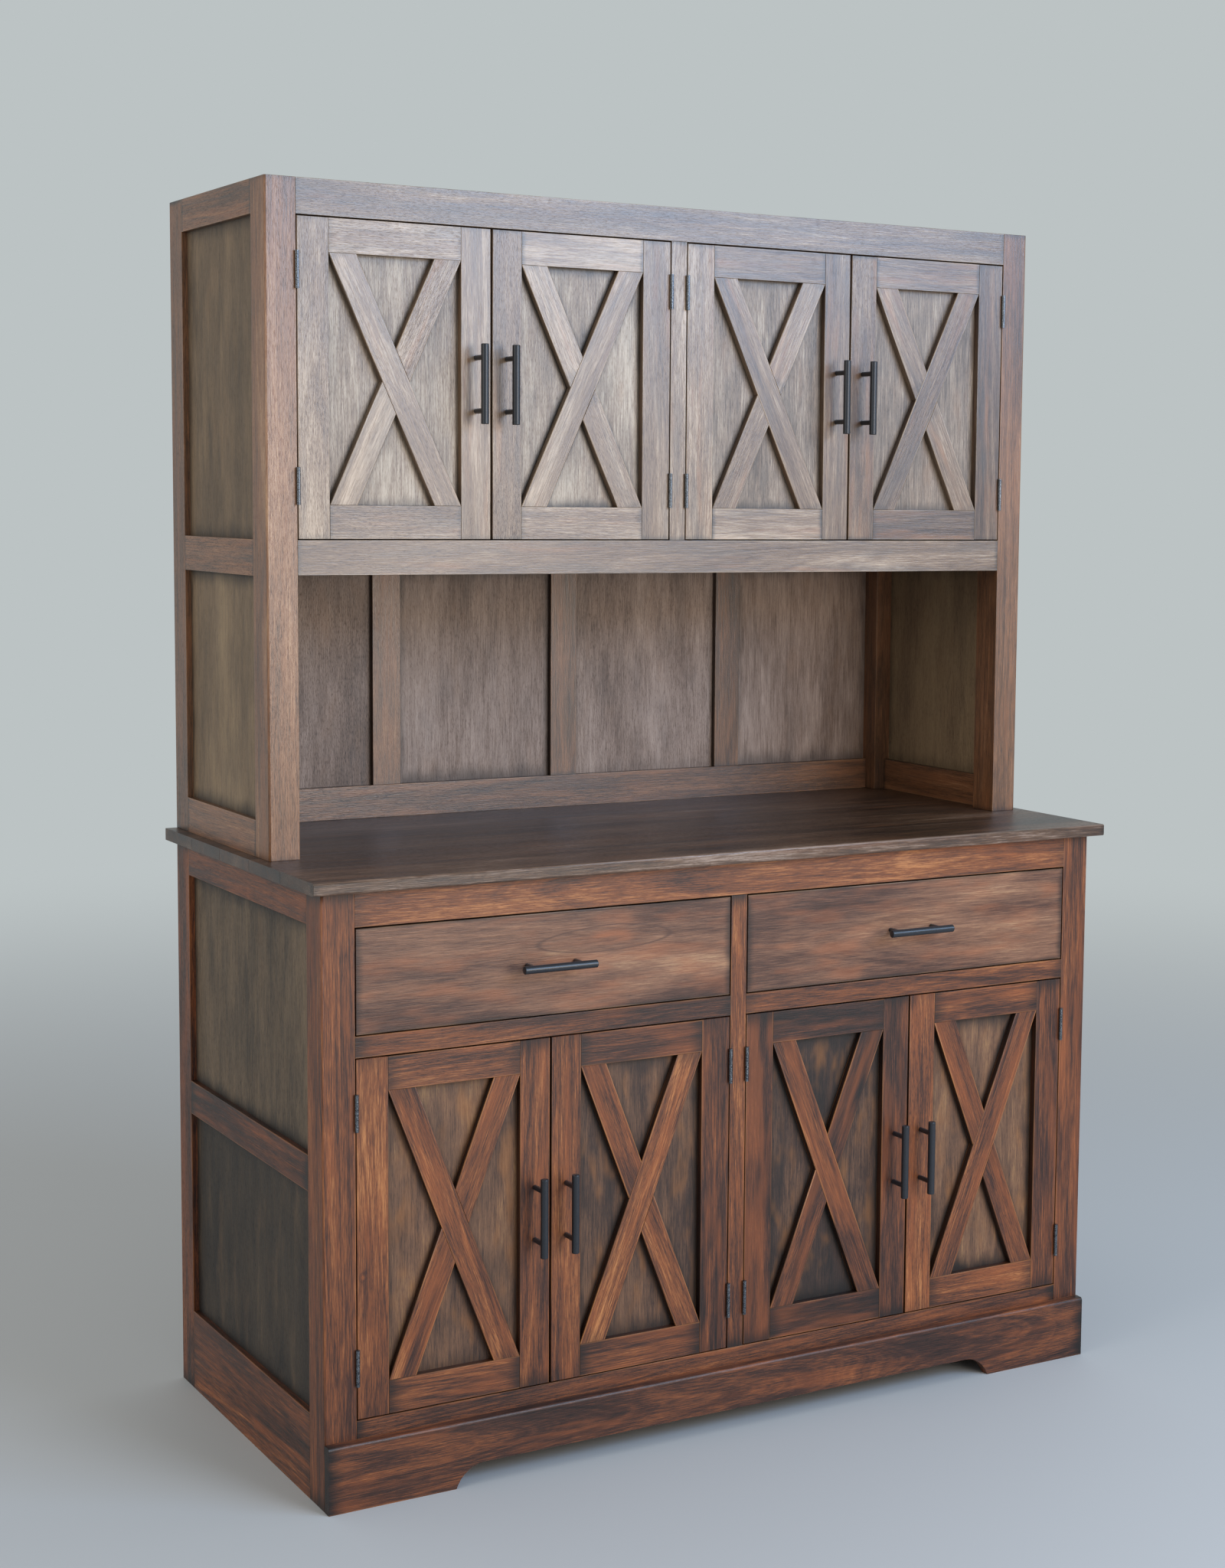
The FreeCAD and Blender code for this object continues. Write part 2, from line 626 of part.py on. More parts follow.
def pull_parts():
    """An upright pull at the origin: its bar, two posts towards +Y and their screws."""
    bar = rod("pull_bar", "pull_bar_wide", "pull_long", ("0", "0", "-pull_long / 2"))
    pieces = [bar]
    for end, z in (("low", "-pull_pitch / 2"), ("high", "pull_pitch / 2")):
        post = rod(f"pull_post_{end}", "pull_post_wide", "pull_stand", ("0", "0", z), TO_BACK)
        bore = rod(f"pull_bore_{end}", "screw_wide + 2 * pin_play",
                   "screw_into + screw_play + overrun",
                   ("0", "pull_stand - screw_into - screw_play", z), TO_BACK)
        shank = rod(f"pull_shank_{end}", "screw_wide", "screw_into + door_thick",
                    ("0", "pull_stand - screw_into", z), TO_BACK)
        head = rod(f"pull_head_{end}", "screw_head_wide", "screw_head_high",
                   ("0", "pull_stand + door_thick", z), TO_BACK)
        pieces.append(cut(f"pull_post_cut_{end}", post, [bar, bore]))
        pieces.append(fused(f"pull_screw_{end}", [shank, head]))
    return group("upright_pull", pieces)


def x_bars(name, row, number):
    """Three flat bars: one runs through from corner to corner, two butt against it.

    A bar's outer edge starts in the opening's corner and its other edge a foot further
    along the rail, so each bar is a leaning wedge block with parallel edges.
    """
    case = ROWS[row]
    wide = f"{row}_pane_wide"
    foot = f"{row}_bar_foot"

    def bar(part, rising):
        low = ("0", foot) if rising else (f"{wide} - {foot}", wide)
        top = (f"{wide} - {foot}", wide) if rising else ("0", foot)
        thing = doc.addObject("Part::Wedge", f"{name}_{part}")
        thing.Placement.Rotation = WEDGE_UP
        bind(thing, Xmin=low[0], Xmax=low[1], X2min=top[0], X2max=top[1])
        bind(thing, Ymin="0", Ymax=f"{row}_pane_high")
        bind(thing, Zmin="0", Z2min="0", Zmax="door_recess", Z2max="door_recess")
        return bind(thing, x=f"{row}_{number}_left + door_stile_wide",
                    y=f"{case}_face + door_recess", z=f"{row}_low + door_rail_high")

    rising = number not in HINGED_LEFT
    through = bar("through_bar", rising)
    crossing = bar("crossing_bar", not rising)
    return [through, cut(f"{name}_half_bars", crossing, [through])]


def add_door(row, number, pull, leaf):
    case = ROWS[row]
    door = f"{row}_{number}"
    name = f"{row}_door_{number}"
    left, right = f"{door}_left", f"{door}_right"
    low, top = f"{row}_low", f"{row}_top"
    thick = (f"{case}_face", f"{case}_face + door_thick")
    recess = f"{case}_face + door_recess"
    groove = (recess, f"{recess} + panel_thick")
    pane_x = (f"{left} + door_stile_wide", f"{right} - door_stile_wide")
    pane_z = (f"{low} + door_rail_high", f"{top} - door_rail_high")
    hinge_side = "left" if number in HINGED_LEFT else "right"
    middle = f"{row}_middle"
    holes = [(f"{door}_pull_x", f"{middle} {sign} pull_pitch / 2") for sign in "-+"]
    pieces = []
    for side, across in (("left", (left, pane_x[0])), ("right", (pane_x[1], right))):
        part = f"{name}_{side}_stile"
        tools = (mortises(part, row, number, False) if side == hinge_side
                 else screw_holes(part, f"{case}_face", holes))
        inside = "right" if side == "left" else "left"
        pieces.append(member(part, "front", across, thick, (low, top), groove, [inside],
                             cuts=tools))
    for part, up, edge in (("bottom", (low, pane_z[0]), "high"), ("top", (pane_z[1], top), "low")):
        pieces.append(member(f"{name}_{part}_rail", "front", pane_x, thick, up, groove,
                             [edge], ("left", "right")))
    node(f"{name}_frame", pieces + x_bars(name, row, number))
    node(f"{name}_panel", [grooved_panel(f"{name}_plywood", "front", pane_x, groove, pane_z)])
    place = (f"{door}_pull_x", f"{case}_face - pull_stand", middle)
    node(f"{name}_pull", [copy_at(f"{name}_pull_copy", pull, place)])
    turn = TURNED_OVER if hinge_side == "left" else UPRIGHT
    node(f"{name}_hinge_leaves", [
        copy_at(f"{name}_leaf_{end}", leaf,
                (f"{door}_axis_x", f"{row}_axis_y", f"{row}_hinge_{end}"), turn)
        for end in ("low", "top")
    ])


def add_case_hinges(leaf, pin):
    """The leaves let into the posts and centre stiles, and the pins they hold."""
    leaves = []
    pins = []
    for row in ROWS:
        for number in DOORS:
            turn = UPRIGHT if number in HINGED_LEFT else TURNED_OVER
            for end in ("low", "top"):
                at = (f"{row}_{number}_axis_x", f"{row}_axis_y", f"{row}_hinge_{end}")
                leaves.append(copy_at(f"{row}_case_leaf_{number}_{end}", leaf, at, turn))
                pins.append(copy_at(f"{row}_pin_{number}_{end}", pin, at, turn))
    node("case_hinge_leaves", leaves)
    node("hinge_pins", pins)


def add_drawer(side, opening, pull):
    """A drawer: front board, a box of two sides, back and bottom, and its pull."""
    name = f"{side}_drawer"
    x = (f"{opening[0]} + drawer_side_gap", f"{opening[1]} - drawer_side_gap")
    inside = (f"{x[0]} + drawer_box_thick", f"{x[1]} - drawer_box_thick")
    y = ("base_face + door_thick", "drawer_back")
    z = ("drawer_low", "drawer_low + drawer_box_high")
    up = ("drawer_open_low + door_bottom_gap", "drawer_open_top - door_top_gap")
    centre = f"({opening[0]} + {opening[1]}) / 2"
    middle = f"({up[0]} + {up[1]}) / 2"
    holes = [(f"{centre} {sign} pull_pitch / 2", middle) for sign in "-+"]
    front = block(f"{name}_board", x, ("base_face", y[0]), up)
    node(f"{name}_front", [cut(f"{name}_drilled", front,
                               screw_holes(name, "base_face", holes))])
    bottom_x = (f"{inside[0]} - drawer_bottom_into", f"{inside[1]} + drawer_bottom_into")
    bottom_z = ("drawer_bottom", "drawer_bottom + panel_thick")
    sides = []
    for end, span, slot in (
        ("left", (x[0], inside[0]), (bottom_x[0], f"{inside[0]} + overrun")),
        ("right", (inside[1], x[1]), (f"{inside[1]} - overrun", bottom_x[1])),
    ):
        board = block(f"{name}_{end}_board", span, y, z)
        long_y = (f"{y[0]} - overrun", f"{y[1]} + overrun")
        groove = block(f"{name}_{end}_groove", slot, long_y, bottom_z)
        sides.append(cut(f"{name}_{end}_side", board, [groove]))
    back = block(f"{name}_back", inside, ("drawer_back - drawer_box_thick", y[1]),
                 (bottom_z[1], z[1]))
    bottom = block(f"{name}_bottom", bottom_x, y, bottom_z)
    node(f"{name}_box", [*sides, back, bottom])
    node(f"{name}_pull", [copy_at(f"{name}_pull_copy", pull,
                                  (centre, "base_face - pull_stand", middle), ON_SIDE)])


def main():
    fill_sheet("sizes", SIZES, False)
    places = PLACES + tuple(item for row in ROWS for item in row_places(row))
    fill_sheet("places", places, True)

    add_worktop()
    add_plinth()
    add_front_frames()
    side_panels = [
        panel for case in ROWS.values() for side in ("left", "right")
        for panel in add_side(case, side)
    ]
    back_panels = add_back_frame("base", [
        ("base_rail_low", "base_open_low"),
        ("base_top - back_rail_high", "base_top"),
    ]) + add_back_frame("hutch", [
        ("hutch_foot", "hutch_foot + back_rail_high"),
        ("hutch_open_low - back_rail_high", "hutch_open_low"),
        ("hutch_top - back_rail_high", "hutch_top"),
    ])
    node("side_panels", side_panels)
    node("back_panels", back_panels)
    add_deck("base_floor", "base", ("base_open_low - floor_thick", "base_open_low"))
    add_deck("cupboard_floor", "hutch", ("hutch_open_low - floor_thick", "hutch_open_low"))
    add_deck("top_board", "hutch", ("hutch_top - floor_thick", "hutch_top"))
    add_partitions()
    add_shelves()
    add_stops()
    add_runners()
    pull = pull_parts()
    door_leaf = hinge_leaf("door_leaf", DOOR_KNUCKLES)
    case_leaf = hinge_leaf("case_leaf", CASE_KNUCKLES)
    pin = group("pin", [rod("pin_rod", "pin_wide", "hinge_long", ("0", "0", "-hinge_long / 2"))])
    add_case_hinges(case_leaf, pin)
    for row in ROWS:
        for number in DOORS:
            add_door(row, number, pull, door_leaf)
    add_drawer("left", ("-base_inner", "-half_centre"), pull)
    add_drawer("right", ("half_centre", "base_inner"), pull)
    doc.recompute()

    for thing in doc.Objects:
        if {"Invalid", "Error"} & set(thing.State):
            raise RuntimeError(f"{thing.Label} failed: {thing.State}")
    for thing in nodes:
        if thing.Shape.isNull() or not thing.Shape.isValid():
            raise RuntimeError(f"{thing.Label} has no valid shape")
    os.makedirs("parts", exist_ok=True)
    for thing in nodes:
        thing.Shape.exportStep(f"parts/{thing.Label}.step")
    print(len(nodes), "sub-parts,", sum(len(thing.Shape.Solids) for thing in nodes), "solids")


main()
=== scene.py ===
# %% [markdown]
# # A farmhouse cabinet in stained wood
#
# This lesson dresses a cabinet whose construction is already fixed: a base with two
# drawers over four doors, and a hutch with an open niche under four more doors. The
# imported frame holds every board, hinge and pull at its real size. Here each board gets
# its own softened edges, its own wood and its own direction of grain, because that is
# what tells the eye that the cabinet was joined from planks and not cast in one piece.

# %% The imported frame
import math

import bpy
import numpy as np
from mathutils import Matrix, Vector


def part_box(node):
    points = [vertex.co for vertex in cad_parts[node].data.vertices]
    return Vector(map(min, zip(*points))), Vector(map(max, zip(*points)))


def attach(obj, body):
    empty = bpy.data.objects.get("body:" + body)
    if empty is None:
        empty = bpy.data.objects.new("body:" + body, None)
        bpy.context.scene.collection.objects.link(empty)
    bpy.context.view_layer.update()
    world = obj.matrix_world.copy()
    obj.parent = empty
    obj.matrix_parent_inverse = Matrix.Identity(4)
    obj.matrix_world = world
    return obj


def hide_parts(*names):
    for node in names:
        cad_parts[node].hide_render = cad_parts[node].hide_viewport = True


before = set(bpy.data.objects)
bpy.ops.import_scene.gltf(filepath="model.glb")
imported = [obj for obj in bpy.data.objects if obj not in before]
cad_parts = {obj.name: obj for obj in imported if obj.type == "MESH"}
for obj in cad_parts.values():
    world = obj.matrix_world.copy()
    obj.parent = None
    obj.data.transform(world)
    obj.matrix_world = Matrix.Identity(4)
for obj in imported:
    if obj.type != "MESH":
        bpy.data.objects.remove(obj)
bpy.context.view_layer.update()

# %% [markdown]
# ## Sizes
#
# The boards' sizes are the frame's own, in millimetres. Most places come from the boxes
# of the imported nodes, so a board can't drift from what it stands for. Only the widths
# that a box can't tell, such as that of a stile inside a door, are written out here. The
# last line is how far each kind of edge is rounded, from a glued one to a post's corner.

# %% Sizes in millimetres
MM = 0.001
RIGHT_X = 686
BASE_FACE, HUTCH_FACE = -296, -91
BACK_Y, BACK_FRONT = 334, 306
PANEL_BACK = (316, 322)
POST_DEEP = 57
SIDE_RAIL = 26
SIDE_PANEL = (9.5, 15.5)
FRONT_THICK = 28
CENTRE = 14
SHEET, DECK_THICK, HALF_PARTITION, DOOR_THICK = 6, 18, 9, 22
CASES = {
    "base": dict(face=BASE_FACE, inner=636, low=0, top=899.5, open_low=127, open_top=659.5),
    "hutch": dict(face=HUTCH_FACE, inner=638.5, low=918.5, top=1914, open_low=1391, open_top=1861.5),
}
SIDE_RAILS = {
    "base": ((0, 129.5), (458.5, 512.5), (848.5, 899.5)),
    "hutch": ((918.5, 974), (1337, 1391), (1863.5, 1914)),
}
BACK_RAILS = {"base": ((60, 127), (844.5, 899.5)), "hutch": ((918.5, 973.5), (1336, 1391), (1859, 1914))}
BACK_STILE = 50
DRAWER_OPENING = (691, 848)
FRONT_RAILS = {"base": (60, 127), "hutch": (1339, 1391)}
WORKTOP_X, WORKTOP_FRONT = 705, -316
DOOR_STILE, DOOR_RAIL = 49, 50
DOOR_RECESS, X_BAR = 12, 40
GLUED, CUT, SOFT, EASED, ROUND = 0.15, 0.2, 0.5, 1.1, 3.0


def packed(node):
    """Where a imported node's box starts and ends along each axis, in millimetres."""
    return [(low / MM, high / MM) for low, high in zip(*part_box(node))]


print("faces of the cases", BASE_FACE, HUTCH_FACE)

# %% [markdown]
# ## Colours
#
# A stain's colours are easiest to judge as they look on a screen, so they are written
# as sRGB hex values. The shader works in linear light, and one function turns the first
# into the second.


# %% Hex colours to linear light
def linear(code):
    """Each channel c becomes ((c + 0.055) / 1.055) ** 2.4, or c / 12.92 when very dark."""
    c = np.array([int(code[i:i + 2], 16) / 255 for i in (1, 3, 5)])
    c = np.where(c > 0.04045, ((c + 0.055) / 1.055) ** 2.4, c / 12.92)
    return (*c.tolist(), 1.0)


print("mid brown", [round(v, 3) for v in linear("#744f3d")])

# %% [markdown]
# ## A board's own wood
#
# A tree is a stack of cones: on any cut face the grain is where that face meets the
# cones. The shader can draw this truly if it knows where a point lies in its own board,
# so every board carries attributes, all in metres. `grain` is the place along, across
# and through the board, and `reach` its half sizes. `heart` and `lean` say where the
# tree's middle ran, and `chance` makes the noise its own. `look` is how warm and light
# the stain took, and how strong the glaze and the painted shade are at the ends and round
# panels. Another attribute holds how deep the pores show, how dark the narrow sides are,
# which is partly painted shade, and how worn the edges are, which is partly a painted
# highlight. `knot` and `knot_size` are one knot or eye of the figure, which on most boards
# is far away.


# %% One function that adds a node
SMOOTH = dict(interpolation_type="SMOOTHSTEP")


def fill(node, inputs):
    """Gives the node's sockets their values, and links those that another node feeds."""
    for socket, value in (inputs.items() if isinstance(inputs, dict) else enumerate(inputs)):
        if isinstance(value, bpy.types.Node):
            value = value.outputs[0]
        if isinstance(value, bpy.types.NodeSocket):
            node.id_data.links.new(value, node.inputs[socket])
        elif value is not None:
            node.inputs[socket].default_value = value


def add(tree, kind, inputs=(), **settings):
    """Adds a node, sets its properties and fills its sockets; "Math ADD" names an operation too."""
    kind, *operation = kind.split()
    made = tree.nodes.new("ShaderNode" + kind)
    for name in operation:
        made.operation = name
    for name, value in settings.items():
        setattr(made, name, value)
    fill(made, inputs)
    return made


def new_material(name):
    material = bpy.data.materials.new(name)
    material.use_nodes = True
    return material, material.node_tree, material.node_tree.nodes["Principled BSDF"]


print("ready to build materials")

# %% [markdown]
# ## Growth lines
#
# A sawn face crosses the tree's yearly layers. Far from the heart they are straight
# lines, near it they close into arches, and a knot pushes them aside like water round a
# stone. An image would repeat from board to board, so the layers are worked out instead:
# every point gets its distance from the heart of the tree.


# %% Distance to the tree's heart
WANDER, WANDER_WAVES, NOISE_MIDDLE = 24, (2.4, 10, 10), (0.5, 0.5, 0.5)
KNOT_FALL = -1.2


def growth_place(tree, given, place):
    """Gives the place along the board, the distance to the heart, and how far out of the knot.

    The grain first wanders by WANDER millimetres times a slow noise. The heart's line
    leans, so the distance is the length of (place + lean * along - heart) across the
    grain. A knot is an ellipse: its own distance is |(place - knot) / size|, and the lines
    round it move by its height times exp(KNOT_FALL * that distance).
    """
    slow = add(tree, "VectorMath MULTIPLY", [place, WANDER_WAVES])
    slow = add(tree, "TexNoise", {"Vector": slow, "Scale": 1, "Detail": 2}).outputs["Color"]
    slow = add(tree, "VectorMath SUBTRACT", [slow, NOISE_MIDDLE])
    across = (0, WANDER * MM, WANDER * MM)
    bent = add(tree, "VectorMath MULTIPLY_ADD", [slow, across, given["grain"]])
    along = add(tree, "SeparateXYZ", [bent]).outputs[0]
    eye = add(tree, "VectorMath SUBTRACT", [bent, given["knot"]])
    eye = add(tree, "VectorMath DIVIDE", [eye, given["knot_size"]])
    eye = add(tree, "VectorMath MULTIPLY", [eye, (1, 1, 0)])
    eye = add(tree, "VectorMath LENGTH", [eye]).outputs["Value"]
    push = add(tree, "Math MULTIPLY", [eye, KNOT_FALL])
    push = add(tree, "Math EXPONENT", [push])
    tall = add(tree, "SeparateXYZ", [given["knot_size"]]).outputs[1]
    cut = add(tree, "VectorMath MULTIPLY_ADD", [given["lean"], along, bent])
    cut = add(tree, "VectorMath SUBTRACT", [cut, given["heart"]])
    cut = add(tree, "VectorMath MULTIPLY", [cut, (0, 1, 1)])
    radius = add(tree, "VectorMath LENGTH", [cut]).outputs["Value"]
    radius = add(tree, "Math MULTIPLY_ADD", [push, tall, radius])
    return along, radius, eye


# %% [markdown]
# ## Streaks, fibre and pores
#
# On this hardwood the eye sees four sizes at once: bands of slow and fast years, the
# single growth lines, fine fibre, and open pores that the stain has filled dark. Real
# pores are about 0.3 by 3 mm, too fine to show from across a room, so they are drawn
# about three times as coarse. Each size is one stretched noise, and a table lists them.


# %% Six noises, each stretched along the grain
FIBRE, BROAD = (36, 1.7), (385, 90)
BAND_SHARES = (2, 4.5)
NOISE_RANGE, NOISE_ROUGH = (0.3, 0.7), 0.66


def figure(tree, given, place, along, radius, streak, pore, cloud):
    """Noise at (along, across) millimetres; -1 is where the wood is darkest, 1 where lightest."""
    seed = add(tree, "SeparateXYZ", [given["chance"]])
    layers = add(tree, "CombineXYZ", [along, radius, seed])
    sizes = {
        "bands": (layers, BAND_SHARES[0] * streak[0], BAND_SHARES[1] * streak[1], 2),
        "lines": (layers, streak[0], streak[1], 4),
        "fibre": (place, *FIBRE, 3),
        "pores": (place, *pore, 1),
        "broad": (place, *BROAD, 2),
        "cloud": (place, *cloud, 2),
    }
    drawn, colours = {}, {}
    for name, (where, long, wide, detail) in sizes.items():
        waves = (1 / (long * MM), 1 / (wide * MM), 1 / (wide * MM))
        at = add(tree, "VectorMath MULTIPLY", [where, waves])
        made = add(tree, "TexNoise", {"Vector": at, "Scale": 1, "Detail": detail, "Roughness": NOISE_ROUGH})
        drawn[name] = add(tree, "MapRange", [made, *NOISE_RANGE, -1, 1])
        colours[name] = made.outputs["Color"]
    pores = add(tree, "MapRange", [drawn["pores"], 0, 1, 0, 1], **SMOOTH)
    deep = add(tree, "SeparateXYZ", [given["pores_shade_wear_highlight"]]).outputs[0]
    drawn["pores"] = add(tree, "Math MULTIPLY", [pores, deep])
    return drawn, add(tree, "SeparateXYZ", [colours["cloud"]]).outputs


# %% [markdown]
# ## Stain
#
# Stain is one brown, but it sinks unevenly: pores and soft wood drink more of it. So a
# single number, the tone, runs up and down a ramp of four browns. Over it lie warm
# patches, where little stain took and the wood's own orange shows, and cool dark clouds,
# where a wiping rag left more. Both come in where a noise passes the limits named here.


# %% The stain's colour
TONE_SHARES = {"bands": 0.12, "lines": 0.15, "fibre": 0.22}
CLOUD_SHARE, PORE_SHARE = 0.1, -0.32
WARM_PULL, WARM_FROM, WARM_MOST = 0.3, (0.62, 0.9), 0.6
COOL_PULL, COOL_FROM, COOL_MOST = -0.2, (0.4, 0.66), 0.4
MIDDLE_FADE, MIDDLE_SPOTS = (0.85, 0.1), (0.4, 0.6, 0.15, 0.7)
RING_WIDE, RING_DARK = 0.08, 0.8


def stain(tree, look, drawn, cloud, eye, tones, warm, cool, patchy, contrast, uneven):
    """Tone = lightness + each noise times its share, and the ramp's colour at it.

    Also the layers that go over it, each with how much it covers and its colour: warm
    and cool patches, and a knot's middle and ring.
    """
    tone = look[1]
    for name, share in TONE_SHARES.items():
        tone = add(tree, "Math MULTIPLY_ADD", [drawn[name], share * contrast, tone])
    for name, share in (("broad", uneven), ("cloud", CLOUD_SHARE * patchy), ("pores", PORE_SHARE)):
        tone = add(tree, "Math MULTIPLY_ADD", [drawn[name], share, tone])
    ramp = add(tree, "ValToRGB", [tone])
    stops = ramp.color_ramp.elements
    while len(stops) < len(tones):
        stops.new(0.5)
    for i, code in enumerate(tones):
        stops[i].position = i / (len(tones) - 1)
        stops[i].color = linear(code)

    heat = add(tree, "Math MULTIPLY_ADD", [look[0], WARM_PULL, cloud[1]])
    heat = add(tree, "MapRange", [heat, *WARM_FROM, 0, WARM_MOST * patchy], **SMOOTH)
    chill = add(tree, "Math MULTIPLY_ADD", [look[0], COOL_PULL, cloud[2]])
    chill = add(tree, "MapRange", [chill, *COOL_FROM, 0, COOL_MOST * patchy], **SMOOTH)

    middle = add(tree, "MapRange", [eye, *MIDDLE_FADE, 0, 1], **SMOOTH)
    spots = add(tree, "MapRange", [cloud[1], *MIDDLE_SPOTS], **SMOOTH)
    middle = add(tree, "Math MULTIPLY", [middle, spots])
    ring = add(tree, "Math SUBTRACT", [eye, 1])
    ring = add(tree, "Math ABSOLUTE", [ring])
    ring = add(tree, "MapRange", [ring, 0, RING_WIDE, RING_DARK, 0], **SMOOTH)
    return ramp, [(heat, warm), (chill, cool), (middle, warm), (ring, tones[1])]


# %% [markdown]
# ## Glaze, painted shade and worn edges
#
# After the stain the maker wiped a dark glaze into the corners and off the flats. It
# stays where a board ends in a joint. All round a panel, along both sides of the bars
# that cross it, and on the narrow sides of bars and frames, the darkening is partly
# that glaze and partly painted shade: it stands for the shade that falls into these
# recesses and gaps. Sanding takes the glaze off the long edges again, which leaves the
# thin light line that outlines each board; that line is partly wear and partly a
# painted highlight of the rounded edge.


# %% Glaze and painted shade in corners, worn and highlit edges, with widths in millimetres
BAR_GLAZE_AND_SHADOW, WORN_HIGHLIGHT_EDGE, NARROW_GLAZE_SHADE = 12, 2.6, (0.2, 1.2)
RAGGED, GLAZE_SHADE_FADE = 0.45, (0.85, 1.9)
WORN_HIGHLIGHT_SPOTS = (0.4, 0.6, 0.15, 1)


def bar_turn(wide, high):
    """How steeply a bar crosses a pane: atan(high / wide) + asin(bar width / diagonal)."""
    return math.atan(high / wide) + math.asin(X_BAR / math.hypot(wide, high))


def glaze_shade_and_edges(tree, given, look, cloud, tones, glaze_and_shade, bars):
    """Layers by distance to the sides: glaze with painted shade, shaded narrow sides, worn highlit edges.

    A bar's edges, seen from the panel, are where | |n . p| - |n . mirrored p| | is half
    the bar's width, n being the bar's normal and p the place in the panel. The bars lie
    on its front only, so behind it that distance gets a metre more.
    """
    pores_shade_wear_highlight = add(tree, "SeparateXYZ", [given["pores_shade_wear_highlight"]]).outputs
    inside = add(tree, "VectorMath ABSOLUTE", [given["grain"]])
    away = add(tree, "VectorMath SUBTRACT", [given["reach"], inside])
    away = add(tree, "SeparateXYZ", [away]).outputs
    places = [(away[i], wide) for i, wide in enumerate(glaze_and_shade)]
    # Darkening along both sides of the bars on the panel: partly glaze, partly a painted shadow of the bars.
    if bars:
        turn = bar_turn(*bars)
        normal = (math.cos(turn), -math.sin(turn), 0)
        off = add(tree, "VectorMath DOT_PRODUCT", [inside, normal]).outputs["Value"]
        off = add(tree, "Math ABSOLUTE", [off])
        off = add(tree, "Math SUBTRACT", [off, X_BAR / 2 * MM])
        through = add(tree, "SeparateXYZ", [given["grain"]]).outputs[2]
        behind = add(tree, "Math GREATER_THAN", [through, 0])
        places.append((add(tree, "Math ADD", [off, behind]), BAR_GLAZE_AND_SHADOW))
    ragged = add(tree, "Math ADD", [cloud[0], RAGGED])
    dark = 0.0
    for distance, wide in places:
        if wide:
            near = add(tree, "Math MULTIPLY_ADD", [distance, 1 / (wide * MM), ragged])
            near = add(tree, "MapRange", [near, *GLAZE_SHADE_FADE, 1, 0], **SMOOTH)
            dark = add(tree, "Math MAXIMUM", [dark, near])
    dark = add(tree, "Math MULTIPLY", [dark, look[2]])
    # Narrow sides darker: partly glaze, partly painted shade in the gaps and recesses.
    narrow_glaze_shade = add(tree, "MapRange", [away[1], *(side * MM for side in NARROW_GLAZE_SHADE), 1, 0])
    narrow_glaze_shade = add(tree, "Math MULTIPLY", [narrow_glaze_shade, pores_shade_wear_highlight[1]])
    # Lighter long edges: partly wear, partly a painted highlight of the rounded edge.
    worn_and_highlit = add(tree, "MapRange", [cloud[1], *WORN_HIGHLIGHT_SPOTS], **SMOOTH)
    for distance in away[1:]:
        edge = add(tree, "MapRange", [distance, 0, WORN_HIGHLIGHT_EDGE * MM, 1, 0], **SMOOTH)
        worn_and_highlit = add(tree, "Math MULTIPLY", [worn_and_highlit, edge])
    worn_and_highlit = add(tree, "Math MULTIPLY", [worn_and_highlit, pores_shade_wear_highlight[2]])
    return [(dark, tones[0]), (narrow_glaze_shade, tones[0]), (worn_and_highlit, tones[-1])]


# %% [markdown]
# ## The finished wood
#
# Satin lacquer closes the wood but keeps its feel: a soft sheen that is duller in the
# pores, and a surface that still follows the fibre. The sheen is what tells the eye that
# the brown is under a film. On the hutch that film is thicker and mirrors more light, so
# its gloss is set higher than a plain lacquer's 0.5.


# %% The wood material
KEYS = ("grain", "reach", "heart", "lean", "chance", "look", "pores_shade_wear_highlight", "knot", "knot_size")
LINE_DULL, PORE_DULL, PORE_DEEP = 0.04, 0.25, -1.5
FEEL = dict(Strength=0.3, Distance=0.2 * MM)
APART = (9, 9, 9)


def stained_wood(name, tones, warm, cool, streak, glaze_and_shade, rough, patchy, pore=(9, 1),
                 contrast=1.0, uneven=0.12, cloud=(200, 22), gloss=0.5, bars=None):
    """tones run from dark to light; streak, pore, cloud and glaze are (along, across) in mm; glaze also sets
    the painted shade.

    bars is the width and height of a pane that crossed bars lie on, in mm. Two boards lie
    up to APART metres from each other in the noise.
    """
    material, tree, shader = new_material(name)
    given = {key: add(tree, "Attribute", attribute_name=key).outputs["Vector"] for key in KEYS}
    look = add(tree, "SeparateXYZ", [given["look"]]).outputs
    place = add(tree, "VectorMath MULTIPLY_ADD", [given["chance"], APART, given["grain"]])
    along, radius, eye = growth_place(tree, given, place)
    drawn, clouds = figure(tree, given, place, along, radius, streak, pore, cloud)
    colour, layers = stain(tree, look, drawn, clouds, eye, tones, warm, cool, patchy, contrast, uneven)
    for share, code in layers + glaze_shade_and_edges(tree, given, look, clouds, tones, glaze_and_shade, bars):
        colour = add(tree, "Mix", {0: share, 6: colour, 7: linear(code)}, data_type="RGBA").outputs[2]
    dull = add(tree, "Math MULTIPLY_ADD", [drawn["lines"], LINE_DULL, rough])
    dull = add(tree, "Math MULTIPLY_ADD", [drawn["pores"], PORE_DULL, dull])
    height = add(tree, "Math MULTIPLY_ADD", [drawn["pores"], PORE_DEEP, drawn["fibre"]])
    bump = add(tree, "Bump", {**FEEL, "Height": height})
    fill(shader, {"Base Color": colour, "Roughness": dull, "Normal": bump, "Specular IOR Level": gloss})
    return material
